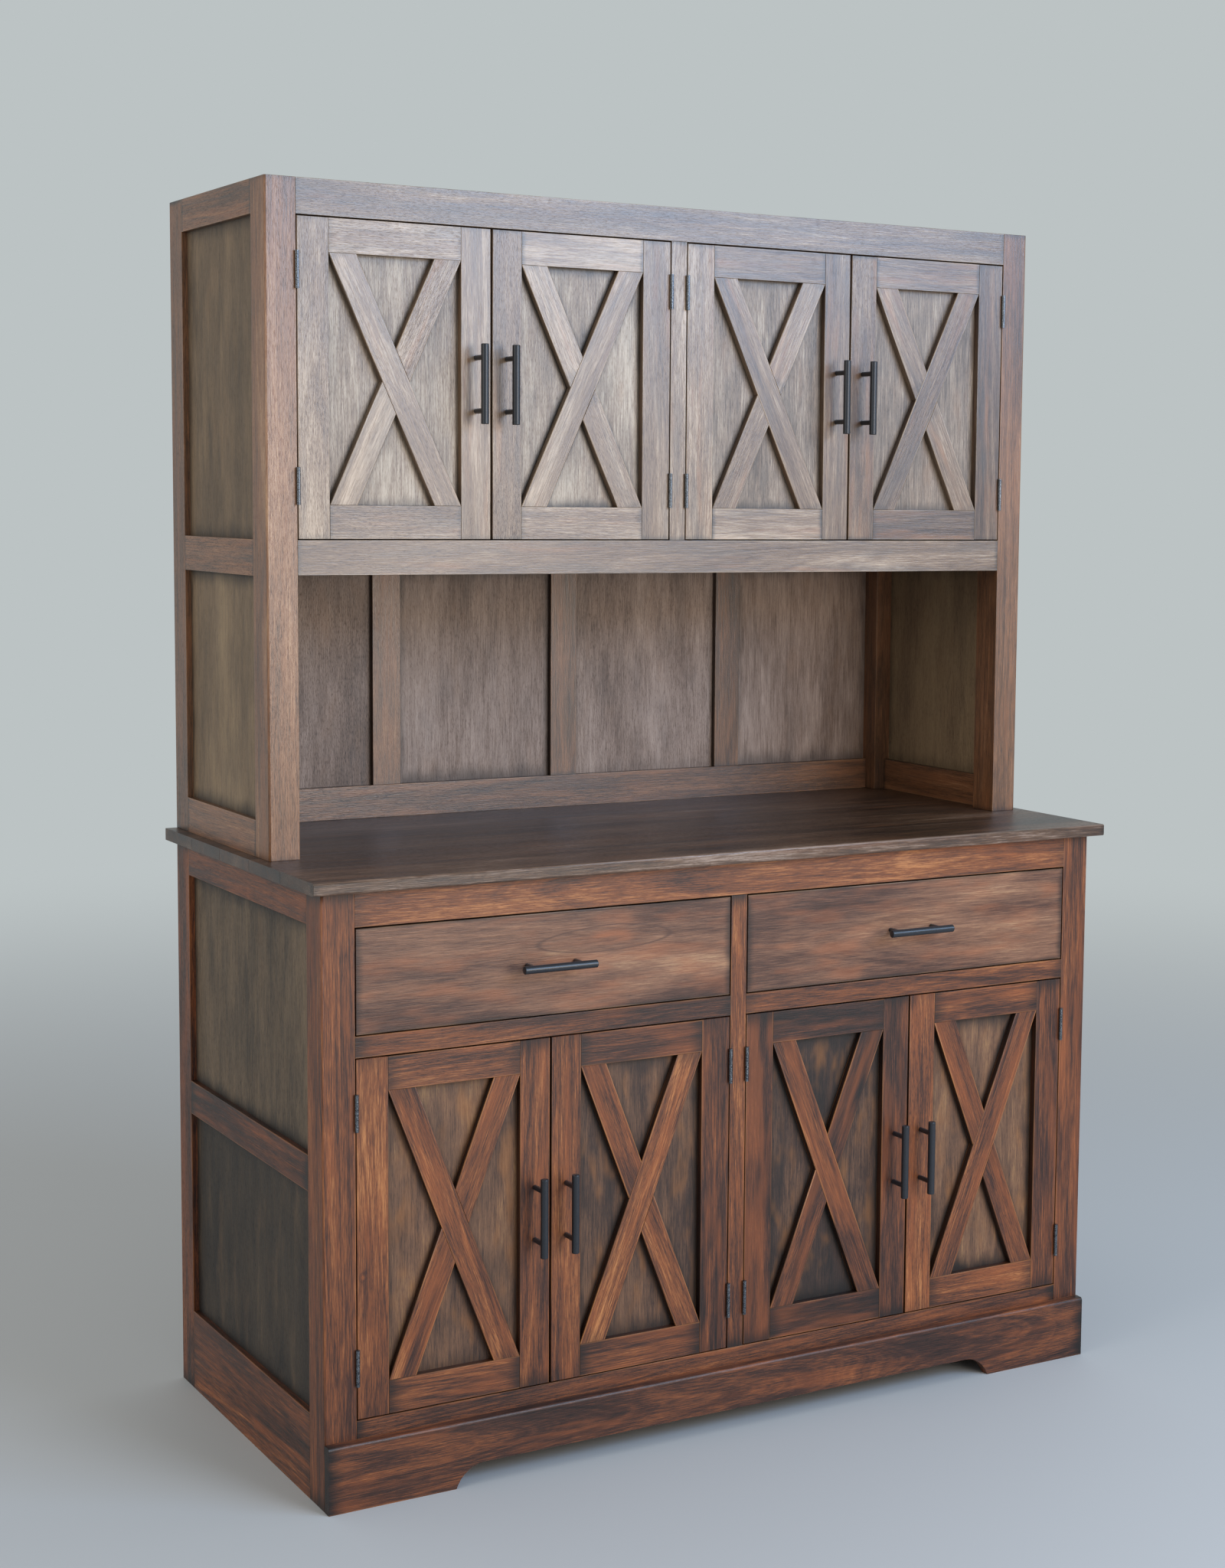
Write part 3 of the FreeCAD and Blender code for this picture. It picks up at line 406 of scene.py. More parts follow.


# %% The woods of this cabinet
# hutch_hardwood, post_hardwood, hutch_plywood and back_plywood are lighter and greyer than the base's woods,
# though the stain is the same: part of that lightness is painted sheen, standing for the cool light that the
# hutch's front mirrors.
WOODS = {
    "hutch_hardwood": dict(
        tones=("#1e130c", "#543b29", "#80664e", "#b9a187"), warm="#9c6840", cool="#4c4743",
        streak=(320, 2.4), pore=(8, 0.9), glaze_and_shade=(10, 0), rough=0.36, patchy=0.85, contrast=0.95, gloss=0.95),
    "post_hardwood": dict(
        tones=("#1f130d", "#563822", "#885b3a", "#b48c68"), warm="#9c623a", cool="#443c36",
        streak=(360, 2.6), pore=(8, 0.9), glaze_and_shade=(10, 0), rough=0.36, patchy=0.7, contrast=0.95, gloss=0.85),
    "base_hardwood": dict(
        tones=("#120a08", "#412419", "#804826", "#bc7c48"), warm="#a3582a", cool="#291b17",
        streak=(380, 2.6), glaze_and_shade=(30, 0), rough=0.42, patchy=0.6, contrast=1.05, uneven=0.16),
    "drawer_hardwood": dict(
        tones=("#1a100c", "#503327", "#855d45", "#ba926c"), warm="#a96239", cool="#40322c",
        streak=(520, 9), glaze_and_shade=(14, 7), rough=0.4, patchy=0.55, contrast=0.75,
        uneven=0.2, cloud=(130, 30)),
    "worktop_hardwood": dict(
        tones=("#170f0b", "#3a281d", "#5e4431", "#968070"), warm="#6b4229", cool="#2b2321",
        streak=(420, 7), glaze_and_shade=(14, 0), rough=0.34, patchy=0.9, contrast=1.3, gloss=0.6, uneven=0.2),
    "hutch_plywood": dict(
        tones=("#170f0b", "#544334", "#8a7561", "#c0ae97"), warm="#8a6342", cool="#544f48",
        streak=(60, 3), pore=(7, 0.9), glaze_and_shade=(20, 12), rough=0.42, patchy=0.6, contrast=0.9,
        cloud=(90, 26), gloss=0.75, bars=(211.25, 367)),
    "base_plywood": dict(
        tones=("#120c09", "#3a271e", "#77543b", "#b08555"), warm="#96602f", cool="#2a211c",
        streak=(100, 5), glaze_and_shade=(38, 20), rough=0.5, patchy=0.75, contrast=0.65,
        uneven=0.17, cloud=(85, 34), bars=(210, 429)),
    "side_plywood": dict(
        tones=("#17110e", "#46392b", "#7d6850", "#a58e6d"), warm="#8d6c4b", cool="#38322b",
        streak=(90, 9), glaze_and_shade=(30, 16), rough=0.55, patchy=0.35, contrast=0.5, cloud=(110, 40)),
    "back_plywood": dict(
        tones=("#1c1411", "#765f50", "#ab9484", "#d0bdac"), warm="#937156", cool="#655c57",
        streak=(60, 4), pore=(7, 0.9), glaze_and_shade=(34, 20), rough=0.46, patchy=0.5, contrast=0.55,
        cloud=(110, 40)),
    "inside_wood": dict(
        tones=("#3c2b21", "#6a4d3a", "#86654d", "#a58266"), warm="#9a6a45", cool="#5a4a40",
        streak=(300, 6), pore=(7, 0.9), glaze_and_shade=(10, 0), rough=0.6, patchy=0.6),
}
woods = {name: stained_wood(name, **numbers) for name, numbers in WOODS.items()}
print("woods", list(woods))

# %% [markdown]
# ## Metal
#
# The pulls are steel bar with a satin black powder coat, which has the faint orange
# peel of sprayed paint. The hinges are zinc-plated steel whose plating has gone dark in
# places, so it is one metal with bright and dull flecks, longest along the barrel.


# %% Black coated steel and zinc-plated steel
PEEL, PEEL_DEEP = 1.6 * MM, 0.1 * MM


def steel(name, waves, detail, stops, dull, bumpy, metallic):
    """One noise, at so many waves a metre, sets the colour, the gloss and the surface."""
    material, tree, shader = new_material(name)
    where = add(tree, "TexCoord").outputs["Object"]
    where = add(tree, "VectorMath MULTIPLY", [where, waves])
    noise = add(tree, "TexNoise", {"Vector": where, "Scale": 1, "Detail": detail})
    tint = add(tree, "ValToRGB", [noise])
    for stop, (position, code) in zip(tint.color_ramp.elements, stops):
        stop.position = position
        stop.color = linear(code)
    rough = add(tree, "MapRange", [noise, 0, 1, *dull])
    bump = add(tree, "Bump", {"Strength": bumpy, "Distance": PEEL_DEEP, "Height": noise})
    fill(shader, {"Base Color": tint, "Metallic": metallic, "Roughness": rough, "Normal": bump})
    return material


coat = steel("black_powder_coat", (1 / PEEL,) * 3, detail=2, stops=((0, "#13161a"), (1, "#292d34")),
             dull=(0.26, 0.4), bumpy=0.2, metallic=0)
zinc = steel("zinc_plated_steel", (1100, 1100, 700), detail=3, stops=((0.4, "#3a3e44"), (0.75, "#a2a8af")),
             dull=(0.25, 0.45), bumpy=0.15, metallic=1)
print("metals", coat.name, zinc.name)

# %% [markdown]
# ## A board
#
# A board is its section carried along its length. The section is a rectangle with a
# rounding of its own at each corner, because a post is rounded where a hand meets it
# and left sharp where a rail butts against it. Both ends can be slanted, which is all
# that the crossed bars of a door need. A bevel on a cube would do for the plain ones,
# but the section knows where each point lies in the wood, and that is worth more here.

# %% A board as a section carried along its length
STEPS, LEAST_RADIUS = 5, 0.05
FAR_KNOT = (9000, 9000, 1000, 1000)
ENDLESS = 1000
HEART_ASIDE, HEART_NEAR, HEART_MORE = 160, 25, 90
LEANING, PORES_LEAST, PORES_MORE = 0.08, 0.2, 0.45
chances = np.random.default_rng(20)


def section(half, radii):
    """Each corner's centre of rounding plus its radius times (cos, sin) of a quarter turn."""
    signs = np.array([(1, 1), (-1, 1), (-1, -1), (1, -1)])
    radii = np.broadcast_to(radii, 4)[:, None]
    turn = np.arange(4)[:, None] * math.pi / 2 + np.linspace(0, math.pi / 2, STEPS)
    centre = signs * (np.asarray(half) - radii)
    ring = centre[:, None] + radii[:, :, None] * np.stack([np.cos(turn), np.sin(turn)], axis=2)
    return ring.reshape(-1, 2)


def marks(local, reach, look, heart=None, lean=None, pores=None, dark=0.0, arris=0.35, knot=None):
    """The attributes of a board, each the same at every point but the place in the board."""
    chance = chances.random(3)
    heart = heart or (0, (chance[0] - 0.5) * HEART_ASIDE, -HEART_NEAR - HEART_MORE * chance[1])
    lean = lean or (0, *(chances.random(2) - 0.5) * LEANING)
    pores_shade_wear_highlight = (pores or PORES_LEAST + PORES_MORE * chances.random(), dark, arris)
    a, b, half_long, half_tall = knot or FAR_KNOT
    same = {
        "reach": np.array(reach) * MM, "heart": np.array(heart) * MM, "lean": lean, "chance": chance,
        "look": look, "pores_shade_wear_highlight": pores_shade_wear_highlight, "knot": np.array([a, b, 0]) * MM,
        "knot_size": np.array([half_long, half_tall, ENDLESS]) * MM,
    }
    return {"grain": local * MM, **{key: np.tile(value, (len(local), 1)) for key, value in same.items()}}


def tube(rings, around):
    """Faces from each ring of so many points around to the next, then the two flat ends."""
    j = np.arange(around)
    quads = np.column_stack([j, (j + 1) % around, (j + 1) % around + around, j + around])
    faces = np.concatenate([quads + k * around for k in range(rings - 1)]).tolist()
    return faces + [j[::-1].tolist(), (j + (rings - 1) * around).tolist()]


def plank(middle, along, across, half, ends, radii=SOFT, **more):
    """Rings of the section at both ends, drawn in by a chamfer at the very end.

    half is half the width and thickness. ends is (start, slope, stop, slope): each end's
    place along the board and how much it moves for each millimetre across.
    """
    chamfer = min(SOFT, min(half) / 2)
    full = section(half, radii)
    small = section(np.asarray(half) - chamfer, np.maximum(np.asarray(radii) - chamfer, LEAST_RADIUS))
    start, start_slope, stop, stop_slope = ends
    rings = [
        (small, start + start_slope * small[:, 0]),
        (full, start + chamfer + start_slope * full[:, 0]),
        (full, stop - chamfer + stop_slope * full[:, 0]),
        (small, stop + stop_slope * small[:, 0]),
    ]
    local = np.concatenate([np.column_stack([a, ring]) for ring, a in rings])
    frame_axes = np.array([along, across, np.cross(along, across)])
    n = len(full)
    flat = [False] * n
    smooth = flat + (np.arange(n) % STEPS != STEPS - 1).tolist() + flat + [False, False]
    centred = local - [(start + stop) / 2, 0, 0]
    return {
        "points": np.asarray(middle) + local @ frame_axes, "faces": tube(4, n), "smooth": smooth,
        **marks(centred, ((stop - start) / 2, *half), **more),
    }


AXES = dict(zip("xyz", np.eye(3)))


def board(x, y, z, ways, **more):
    """A plank between two planes along each axis; "zx" has its grain along Z and its width along X."""
    spans = dict(x=x, y=y, z=z)
    along, across = ways
    through = (set(spans) - set(ways)).pop()
    middle = [sum(spans[name]) / 2 for name in "xyz"]
    half = [(spans[name][1] - spans[name][0]) / 2 for name in (across, through)]
    long = (spans[along][1] - spans[along][0]) / 2
    return plank(middle, AXES[along], AXES[across], half, (-long, 0, long, 0), **more)


# %% Boards into a piece
def placed(name, data):
    """An object in the scene that shows the data."""
    made = bpy.data.objects.new(name, data)
    bpy.context.scene.collection.objects.link(made)
    return made


def piece(name, shapes, material, body, nodes):
    """Joins shapes in millimetres into one object that stands for CAD nodes, with any attributes."""
    points = np.concatenate([shape["points"] for shape in shapes]) * MM
    faces, first = [], 0
    for shape in shapes:
        faces += [[first + v for v in face] for face in shape["faces"]]
        first += len(shape["points"])
    mesh = bpy.data.meshes.new(name)
    mesh.from_pydata(points.tolist(), [], faces)
    mesh.polygons.foreach_set("use_smooth", [flag for shape in shapes for flag in shape["smooth"]])
    mesh.materials.append(material)
    for key in KEYS:
        if key in shapes[0]:
            values = np.concatenate([shape[key] for shape in shapes]).astype(np.float32)
            mesh.attributes.new(key, "FLOAT_VECTOR", "POINT").data.foreach_set("vector", values.ravel())
    made = placed(name, mesh)
    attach(made, body)
    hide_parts(*nodes)
    return made


print("ring of a post", section((25, 28.5), (SOFT, SOFT, ROUND, SOFT)).shape)

# %% [markdown]
# ## The doors
#
# Each door is two stiles with two rails between them, round a plywood panel, and three
# flat bars over the panel that make an X. One bar runs from corner to corner and the
# other is in two halves that butt against it. The bars end level on the rails, so their
# ends are slanted, and the inner ends follow the edge of the bar that they meet. Each
# door has a look of its own, (how warm, how light), as the stain came out on it. In the
# upper row the doors also grow darker from left to right, which is painted sheen: it
# stands for the reflection that is brighter on the left.


# %% The crossed bars
# Bars' narrow sides are darker, partly glaze and partly painted shade; their edges are lighter, partly wear
# and partly a painted highlight.
BAR_SIDE_GLAZE_SHADE, BAR_ARRIS_HIGHLIGHT = 0.15, 0.8


def crossed_bars(x, z, face, rising, look, dark):
    """The through bar, then the two halves of the other one.

    The direction of a bar runs from the middle of one foot to the middle of the other,
    each foot being width / sin(direction) wide on its rail. A level end moves along the
    bar by cos / sin of the direction for each millimetre across it. An inner end lies
    where (along * A + across * B) . N is half a bar, N being the other bar's normal.
    """
    wide, high = x[1] - x[0], z[1] - z[0]
    turn = bar_turn(wide, high)
    middle = ((x[0] + x[1]) / 2, face + DOOR_RECESS / 2, (z[0] + z[1]) / 2)
    half = (X_BAR / 2, DOOR_RECESS / 2)
    reach = high / 2 / math.sin(turn)
    soft = dict(radii=EASED, dark=dark + BAR_SIDE_GLAZE_SHADE, arris=BAR_ARRIS_HIGHLIGHT)

    def axes(up_right):
        side = 1 if up_right else -1
        a = np.array([side * math.cos(turn), 0, math.sin(turn)])
        return a, np.array([a[2], 0, -a[0]])

    a, b = axes(rising)
    slope = a[0] / a[2]
    bars = [plank(middle, a, b, half, (-reach, slope, reach, slope), look=look[0], **soft)]
    normal = b
    a, b = axes(not rising)
    slope = a[0] / a[2]
    facing = a @ normal
    inner = X_BAR / 2 / abs(facing)
    inner_slope = -(b @ normal) / facing
    bars.append(plank(middle, a, b, half, (-reach, slope, -inner, inner_slope), look=look[1], **soft))
    bars.append(plank(middle, a, b, half, (inner, inner_slope, reach, slope), look=look[2], **soft))
    return bars


# %% Frames and panels of the eight doors
ROWS = {"upper": "hutch", "lower": "base"}
# Upper row: lighter to the left, a painted falloff of the sheen on top of the stain's own variation.
DOOR_LOOKS = {
    "upper": ((0.3, 0.67), (0.3, 0.65), (0.35, 0.6), (0.4, 0.48)),
    "lower": ((0.6, 0.5), (0.6, 0.44), (0.75, 0.21), (0.7, 0.52)),
}
# How dark the doors' narrow sides are: partly glaze, partly painted shade in the gaps between doors and in
# the panels' recess.
EDGE_GLAZE_SHADE = {"upper": 0.35, "lower": 0.75}
BAR_LIGHTER, BAR_ENDS = 0.07, 0.45
PANEL_LIGHTER, PANEL_COOLER, PANEL_SPREAD = 0.06, 0.7, 0.04
STILE_KNOT = (-55, -17, 7, 5)
OVERLAP, STRAIGHT = 1, (0, 0.01, 0)
DOOR_HEART, DOOR_TO_DOOR = 900, 200
GLAZE_SHADE_LEAST, GLAZE_SHADE_MORE = 0.3, 0.7


def sheet(x, y, z, across, look, heart):
    """An upright plywood panel, let in all round; its heart is far off, so the figure runs straight."""
    spans = dict(x=x, y=y, z=z)
    for name in (across, "z"):
        spans[name] = (spans[name][0] - OVERLAP, spans[name][1] + OVERLAP)
    return board(**spans, ways="z" + across, radii=CUT, look=look, heart=(0, heart, 0), lean=STRAIGHT)


def varied(warm, light, glaze_and_shade=1.0, spread=0.12):
    """A look near the given one: each board takes the stain a little differently."""
    warmer, lighter = (chances.random(2) - 0.5) * 2 * spread
    return (warm + warmer, light + lighter, glaze_and_shade * (GLAZE_SHADE_LEAST + GLAZE_SHADE_MORE * chances.random()))


for row, case in ROWS.items():
    for number in (1, 2, 3, 4):
        door = f"{row}_door_{number}"
        x, y, z = packed(f"{door}_frame")
        face = y[0]
        pane_x = (x[0] + DOOR_STILE, x[1] - DOOR_STILE)
        pane_z = (z[0] + DOOR_RAIL, z[1] - DOOR_RAIL)
        looks = DOOR_LOOKS[row][number - 1]
        dark = EDGE_GLAZE_SHADE[row]
        left_edges = (SOFT, SOFT, EASED, SOFT)
        right_edges = (SOFT, SOFT, SOFT, EASED)
        parts = [
            board((x[0], pane_x[0]), y, z, "zx", radii=left_edges, look=varied(*looks), dark=dark,
                  knot=STILE_KNOT if door == "lower_door_1" else None),
            board((pane_x[1], x[1]), y, z, "zx", radii=right_edges, look=varied(*looks), dark=dark),
            board(pane_x, y, (z[0], pane_z[0]), "xz", look=varied(*looks), dark=dark),
            board(pane_x, y, (pane_z[1], z[1]), "xz", look=varied(*looks), dark=dark),
            *crossed_bars(pane_x, pane_z, face, number in (2, 4),
                          [varied(looks[0], looks[1] + BAR_LIGHTER, BAR_ENDS) for _ in range(3)], dark),
        ]
        piece(f"{door}_boards", parts, woods[f"{case}_hardwood"], door, [f"{door}_frame"])
        panel = sheet(
            pane_x, (face + DOOR_RECESS, face + DOOR_RECESS + SHEET), pane_z, "x",
            varied(looks[0] * PANEL_COOLER, looks[1] + PANEL_LIGHTER, spread=PANEL_SPREAD),
            DOOR_HEART + DOOR_TO_DOOR * number)
        piece(f"{door}_veneer", [panel], woods[f"{case}_plywood"], door, [f"{door}_panel"])
print("boards in each door", len(parts))

# %% [markdown]
# ## The case
#
# Posts stand at the corners, rounded where they face outwards. The side frames hold
# plywood between posts and rails, the front frame carries the doors and drawers, and
# the back frames are seen through the niche. Grain always runs the long way of a board,
# so it turns at every joint.


# %% Side frames of the base and the hutch
# SIDE_LIGHT gives each side's lower and upper panels a lightness: on the base the lower panels are darker,
# painted shade near the floor. POST_LIGHT makes the hutch's posts lighter than the base's, partly painted
# sheen.
SIDE_WARM, SIDE_LIGHT = 0.3, {"base": (0.24, 0.4), "hutch": (0.74, 0.56)}
POST_LIGHT = {"base": 0.39, "hutch": 0.5}
# How dark the narrow sides of rails, front frames and back frames are: partly glaze, partly painted shade.
RAIL_GLAZE_SHADE, FRONT_GLAZE_SHADE, BACK_GLAZE_SHADE = 0.5, 0.6, 0.8
SIDE_HEART, BACK_HEART = 1200, 1400
POST_WOOD = {"base": "base_hardwood", "hutch": "post_hardwood"}


def side_boards(case, side):
    """The two posts and three rails of one side, then the two panels between them."""
    numbers = CASES[case]
    sign = -1 if side == "left" else 1
    z = (numbers["low"], numbers["top"])
    front = (numbers["face"], numbers["face"] + POST_DEEP)
    back = (BACK_Y - POST_DEEP, BACK_Y)
    between = (front[1], back[0])
    post = sorted((sign * RIGHT_X, sign * numbers["inner"]))
    rail = sorted((sign * RIGHT_X, sign * (RIGHT_X - SIDE_RAIL)))
    panel = sorted((sign * (RIGHT_X - SIDE_PANEL[0]), sign * (RIGHT_X - SIDE_PANEL[1])))
    outer_front = (SOFT, SOFT, ROUND, SOFT) if side == "left" else (SOFT, SOFT, SOFT, ROUND)
    outer_back = (SOFT, EASED, SOFT, SOFT) if side == "left" else (EASED, SOFT, SOFT, SOFT)
    tone = (0.5, POST_LIGHT[case])
    boards = [
        board(post, front, z, "zx", radii=outer_front, look=varied(*tone)),
        board(post, back, z, "zx", radii=outer_back, look=varied(*tone)),
    ]
    boards += [board(rail, between, span, "yz", look=varied(*tone), dark=RAIL_GLAZE_SHADE)
               for span in SIDE_RAILS[case]]
    panels = [sheet(panel, between, (below[1], above[0]), "y", varied(SIDE_WARM, light), SIDE_HEART)
              for light, below, above in zip(SIDE_LIGHT[case], SIDE_RAILS[case], SIDE_RAILS[case][1:])]
    return boards, panels


side_panels = []
for case in CASES:
    for side in ("left", "right"):
        boards, panels = side_boards(case, side)
        piece(f"{case}_{side}_side_boards", boards, woods[POST_WOOD[case]], "case",
              [f"{case}_{side}_side"])
        side_panels += panels
piece("side_veneers", side_panels, woods["side_plywood"], "case", ["side_panels"])
print("side panels", len(side_panels))

# %% Front frames
base, hutch = CASES["base"], CASES["hutch"]
base_y = (BASE_FACE, BASE_FACE + FRONT_THICK)
hutch_y = (HUTCH_FACE, HUTCH_FACE + FRONT_THICK)
base_x, hutch_x = (-base["inner"], base["inner"]), (-hutch["inner"], hutch["inner"])
centre_x = (-CENTRE, CENTRE)
# The hutch's front boards (pale) and both top rails are lighter and cooler than plain: partly painted sheen,
# which is brightest towards the top.
plain, pale = (0.5, 0.5), (0.2, 0.6)
between_rails = (base["open_top"], DRAWER_OPENING[0])
fronts = {
    "base": (
        (base_x, (DRAWER_OPENING[1], base["top"]), "xz", (0.35, 0.6), FRONT_GLAZE_SHADE),
        (base_x, FRONT_RAILS["base"], "xz", plain, FRONT_GLAZE_SHADE),
        ((base_x[0], -CENTRE), between_rails, "xz", plain, FRONT_GLAZE_SHADE),
        ((CENTRE, base_x[1]), between_rails, "xz", plain, FRONT_GLAZE_SHADE),
        (centre_x, (base["open_low"], DRAWER_OPENING[1]), "zx", plain, FRONT_GLAZE_SHADE),
    ),
    "hutch": (
        (hutch_x, FRONT_RAILS["hutch"], "xz", pale, FRONT_GLAZE_SHADE),
        (hutch_x, (hutch["open_top"], hutch["top"]), "xz", (0, 0.62), 0.3),
        (centre_x, (hutch["open_low"], hutch["open_top"]), "zx", pale, FRONT_GLAZE_SHADE),
    ),
}
for (case, rows), y in zip(fronts.items(), (base_y, hutch_y)):
    boards = [board(x, y, z, ways, look=varied(*tone), dark=dark) for x, z, ways, tone, dark in rows]
    piece(f"{case}_front_boards", boards, woods[f"{case}_hardwood"], "case",
          [f"{case}_front_frame"])
print("front boards", {case: len(rows) for case, rows in fronts.items()})

# %% Back frames and their panels
BACK_LOOK, PANE_WARM, PANE_GLAZE_SHADE = (0.5, 0.36), 0.35, (0.8, 0.06)
NICHE_LIGHT = (0.4, 0.51, 0.51, 0.42)
back_panels = []
for case, rails in BACK_RAILS.items():
    inner = CASES[case]["inner"]
    pane = (2 * inner - 3 * BACK_STILE) / 4
    y = (BACK_FRONT, BACK_Y)
    boards = [board((-inner, inner), y, rail, "xz", look=varied(*BACK_LOOK), dark=RAIL_GLAZE_SHADE)
              for rail in rails]
    for below, above in zip(rails, rails[1:]):
        for column in range(4):
            left = -inner + column * (pane + BACK_STILE)
            back_panels.append(sheet((left, left + pane), PANEL_BACK, (below[1], above[0]), "x",
                                     varied(PANE_WARM, NICHE_LIGHT[column], *PANE_GLAZE_SHADE), BACK_HEART))
            if column < 3:
                boards.append(board((left + pane, left + pane + BACK_STILE), y, (below[1], above[0]),
                                    "zx", look=varied(*BACK_LOOK), dark=BACK_GLAZE_SHADE))
    piece(f"{case}_back_boards", boards, woods[POST_WOOD[case]], "case",
          [f"{case}_back_frame"])
piece("back_veneers", back_panels, woods["back_plywood"], "case", ["back_panels"])
print("back panels", len(back_panels))

# %% [markdown]
# ## Worktop, plinth and drawers
#
# The worktop is glued up from staves that run the whole width, and stained darker. Along
# its front lies a thin strip that is lighter, so the edge shows as a pale line: partly as
# it took less stain, partly as a painted highlight of the sheen on the front edge. The
# plinth is one board whose lower edge is cut away between two feet. Both have rounded
# edges that catch the light. The drawer fronts are wide flat-sawn boards, where the
# growth lines close into long arches, and the left one has an eye in its figure.

# %% The worktop's staves
STRIP, STRIP_ROUND, STAVES = 6, 2.9, 5
# The front strip's lighter look and fully worn top edge are partly a painted highlight of the front edge's
# sheen.
STRIP_LOOK_AND_SHEEN, STAVE_LOOK = (0.4, 0.63, 0.6), (0.4, 0.45, 0.6, 0.08)
worktop_x, worktop_z = (-WORKTOP_X, WORKTOP_X), (base["top"], hutch["low"])
worktop_y = np.linspace(WORKTOP_FRONT, BACK_Y, STAVES + 1)
staves = [board(worktop_x, (worktop_y[0], worktop_y[0] + STRIP), worktop_z, "xy",
                radii=(GLUED, STRIP_ROUND, STRIP_ROUND, GLUED), look=STRIP_LOOK_AND_SHEEN, arris=1)]
for i, (near, far) in enumerate(zip(worktop_y, worktop_y[1:])):
    near = near + STRIP if i == 0 else near
    staves.append(board(worktop_x, (near, far), worktop_z, "xy", radii=GLUED, look=varied(*STAVE_LOOK)))
piece("worktop_staves", staves, woods["worktop_hardwood"], "case", ["worktop"])
print("staves", len(staves))

# %% The plinth, whose lower edge follows the cut-out
PLINTH_HIGH, PLINTH_THICK, PLINTH_ROUND = 100, 16, 5
CUT_HIGH, CUT_ROUND, CUT_END_X = 33.5, 50, 438.8
ARC_STEPS, ROUND_STEPS, FLAT_STEPS = 14, 7, 5
FLAT_X, BEFORE_ARC, NEARLY = 400, 20, 1e-6
PLINTH_LOOK, PLINTH_HEART, PLINTH_LEAN = (0.4, 0.42, 1), (0, 10, -60), (0, 0.01, 0.05)


def plinth_board():
    """A section with a rounded top front edge, carried along X.

    Its lower edge is 0 on the feet and CUT_HIGH between them, and in between it is
    CUT_HIGH - CUT_ROUND + sqrt(CUT_ROUND ** 2 - d ** 2), d being how far X has gone past
    the middle of the arc.
    """
    drop = CUT_ROUND - CUT_HIGH
    foot = CUT_END_X + math.sqrt(CUT_ROUND ** 2 - drop ** 2)
    arc = foot - (foot - CUT_END_X) * (1 - np.cos(np.linspace(0, math.pi / 2, ARC_STEPS)))
    flat = np.linspace(FLAT_X, 0, FLAT_STEPS)
    half = np.concatenate([[RIGHT_X, RIGHT_X - SOFT, foot + BEFORE_ARC], arc, flat])
    x = np.concatenate([-half, half[-2::-1]])
    past = np.maximum(np.abs(x) - CUT_END_X, 0)
    inside = np.maximum(CUT_ROUND ** 2 - past ** 2, 0)
    lower = np.where(np.abs(x) < foot - NEARLY, np.maximum(np.sqrt(inside) - drop, 0), 0)
    turn = np.linspace(0, math.pi / 2, ROUND_STEPS)
    front, back = BASE_FACE - PLINTH_THICK, BASE_FACE
    round_y = front + PLINTH_ROUND * (1 - np.cos(turn))
    round_z = PLINTH_HIGH - PLINTH_ROUND * (1 - np.sin(turn))
    fixed = np.column_stack([np.r_[round_y, back], np.r_[round_z, PLINTH_HIGH]])
    bottom = np.stack([np.column_stack([np.full_like(x, y), lower]) for y in (back, front)], axis=1)
    rows = np.concatenate([bottom, np.broadcast_to(fixed, (len(x), *fixed.shape))], axis=1)
    count = rows.shape[1]
    points = np.concatenate([np.repeat(x, count)[:, None], rows.reshape(-1, 2)], axis=1)
    faces = [face[::-1] for face in tube(len(x), count)]
    j = np.arange(count)
    smooth = ((j > 1) & (j < count - 2)).tolist() * (len(x) - 1) + [False, False]
    middle = np.array([0, (front + back) / 2, PLINTH_HIGH / 2])
    local = (points - middle)[:, [0, 2, 1]] * [1, 1, -1]
    return {
        "points": points, "faces": faces, "smooth": smooth,
        **marks(local, (RIGHT_X, PLINTH_HIGH / 2, PLINTH_THICK / 2), PLINTH_LOOK,
                heart=PLINTH_HEART, lean=PLINTH_LEAN),
    }


piece("plinth_boards", [plinth_board()], woods["base_hardwood"], "case", ["plinth"])
print("plinth between", -RIGHT_X, RIGHT_X)

# %% The drawers
INSIDE_LOOK, BOTTOM_HEART = (0.4, 0.5), (0, 900, 0)
DRAWER_THICK, BOTTOM_UP, GROOVE, PLAY = 12, 12, 6, 1
DRAWER_HEART, DRAWER_EYE = (0, -20, 42), (90, 28, 112, 19)
DRAWER_LEAN = {"left": (0, 0.04, -0.09), "right": (0, 0.04, 0.09)}
# The drawer front's narrow sides are darker: partly glaze, partly painted shade in the gap round it.
DRAWER_LOOK, DRAWER_GLAZE_SHADE, DRAWER_PORES = (0.55, 0.53, 0.8), 0.8, 0.2


def plain_board(x, y, z, ways, **more):
    """A board of the inside, in its own plain stain."""
    return board(x, y, z, ways, look=varied(*INSIDE_LOOK), **more)


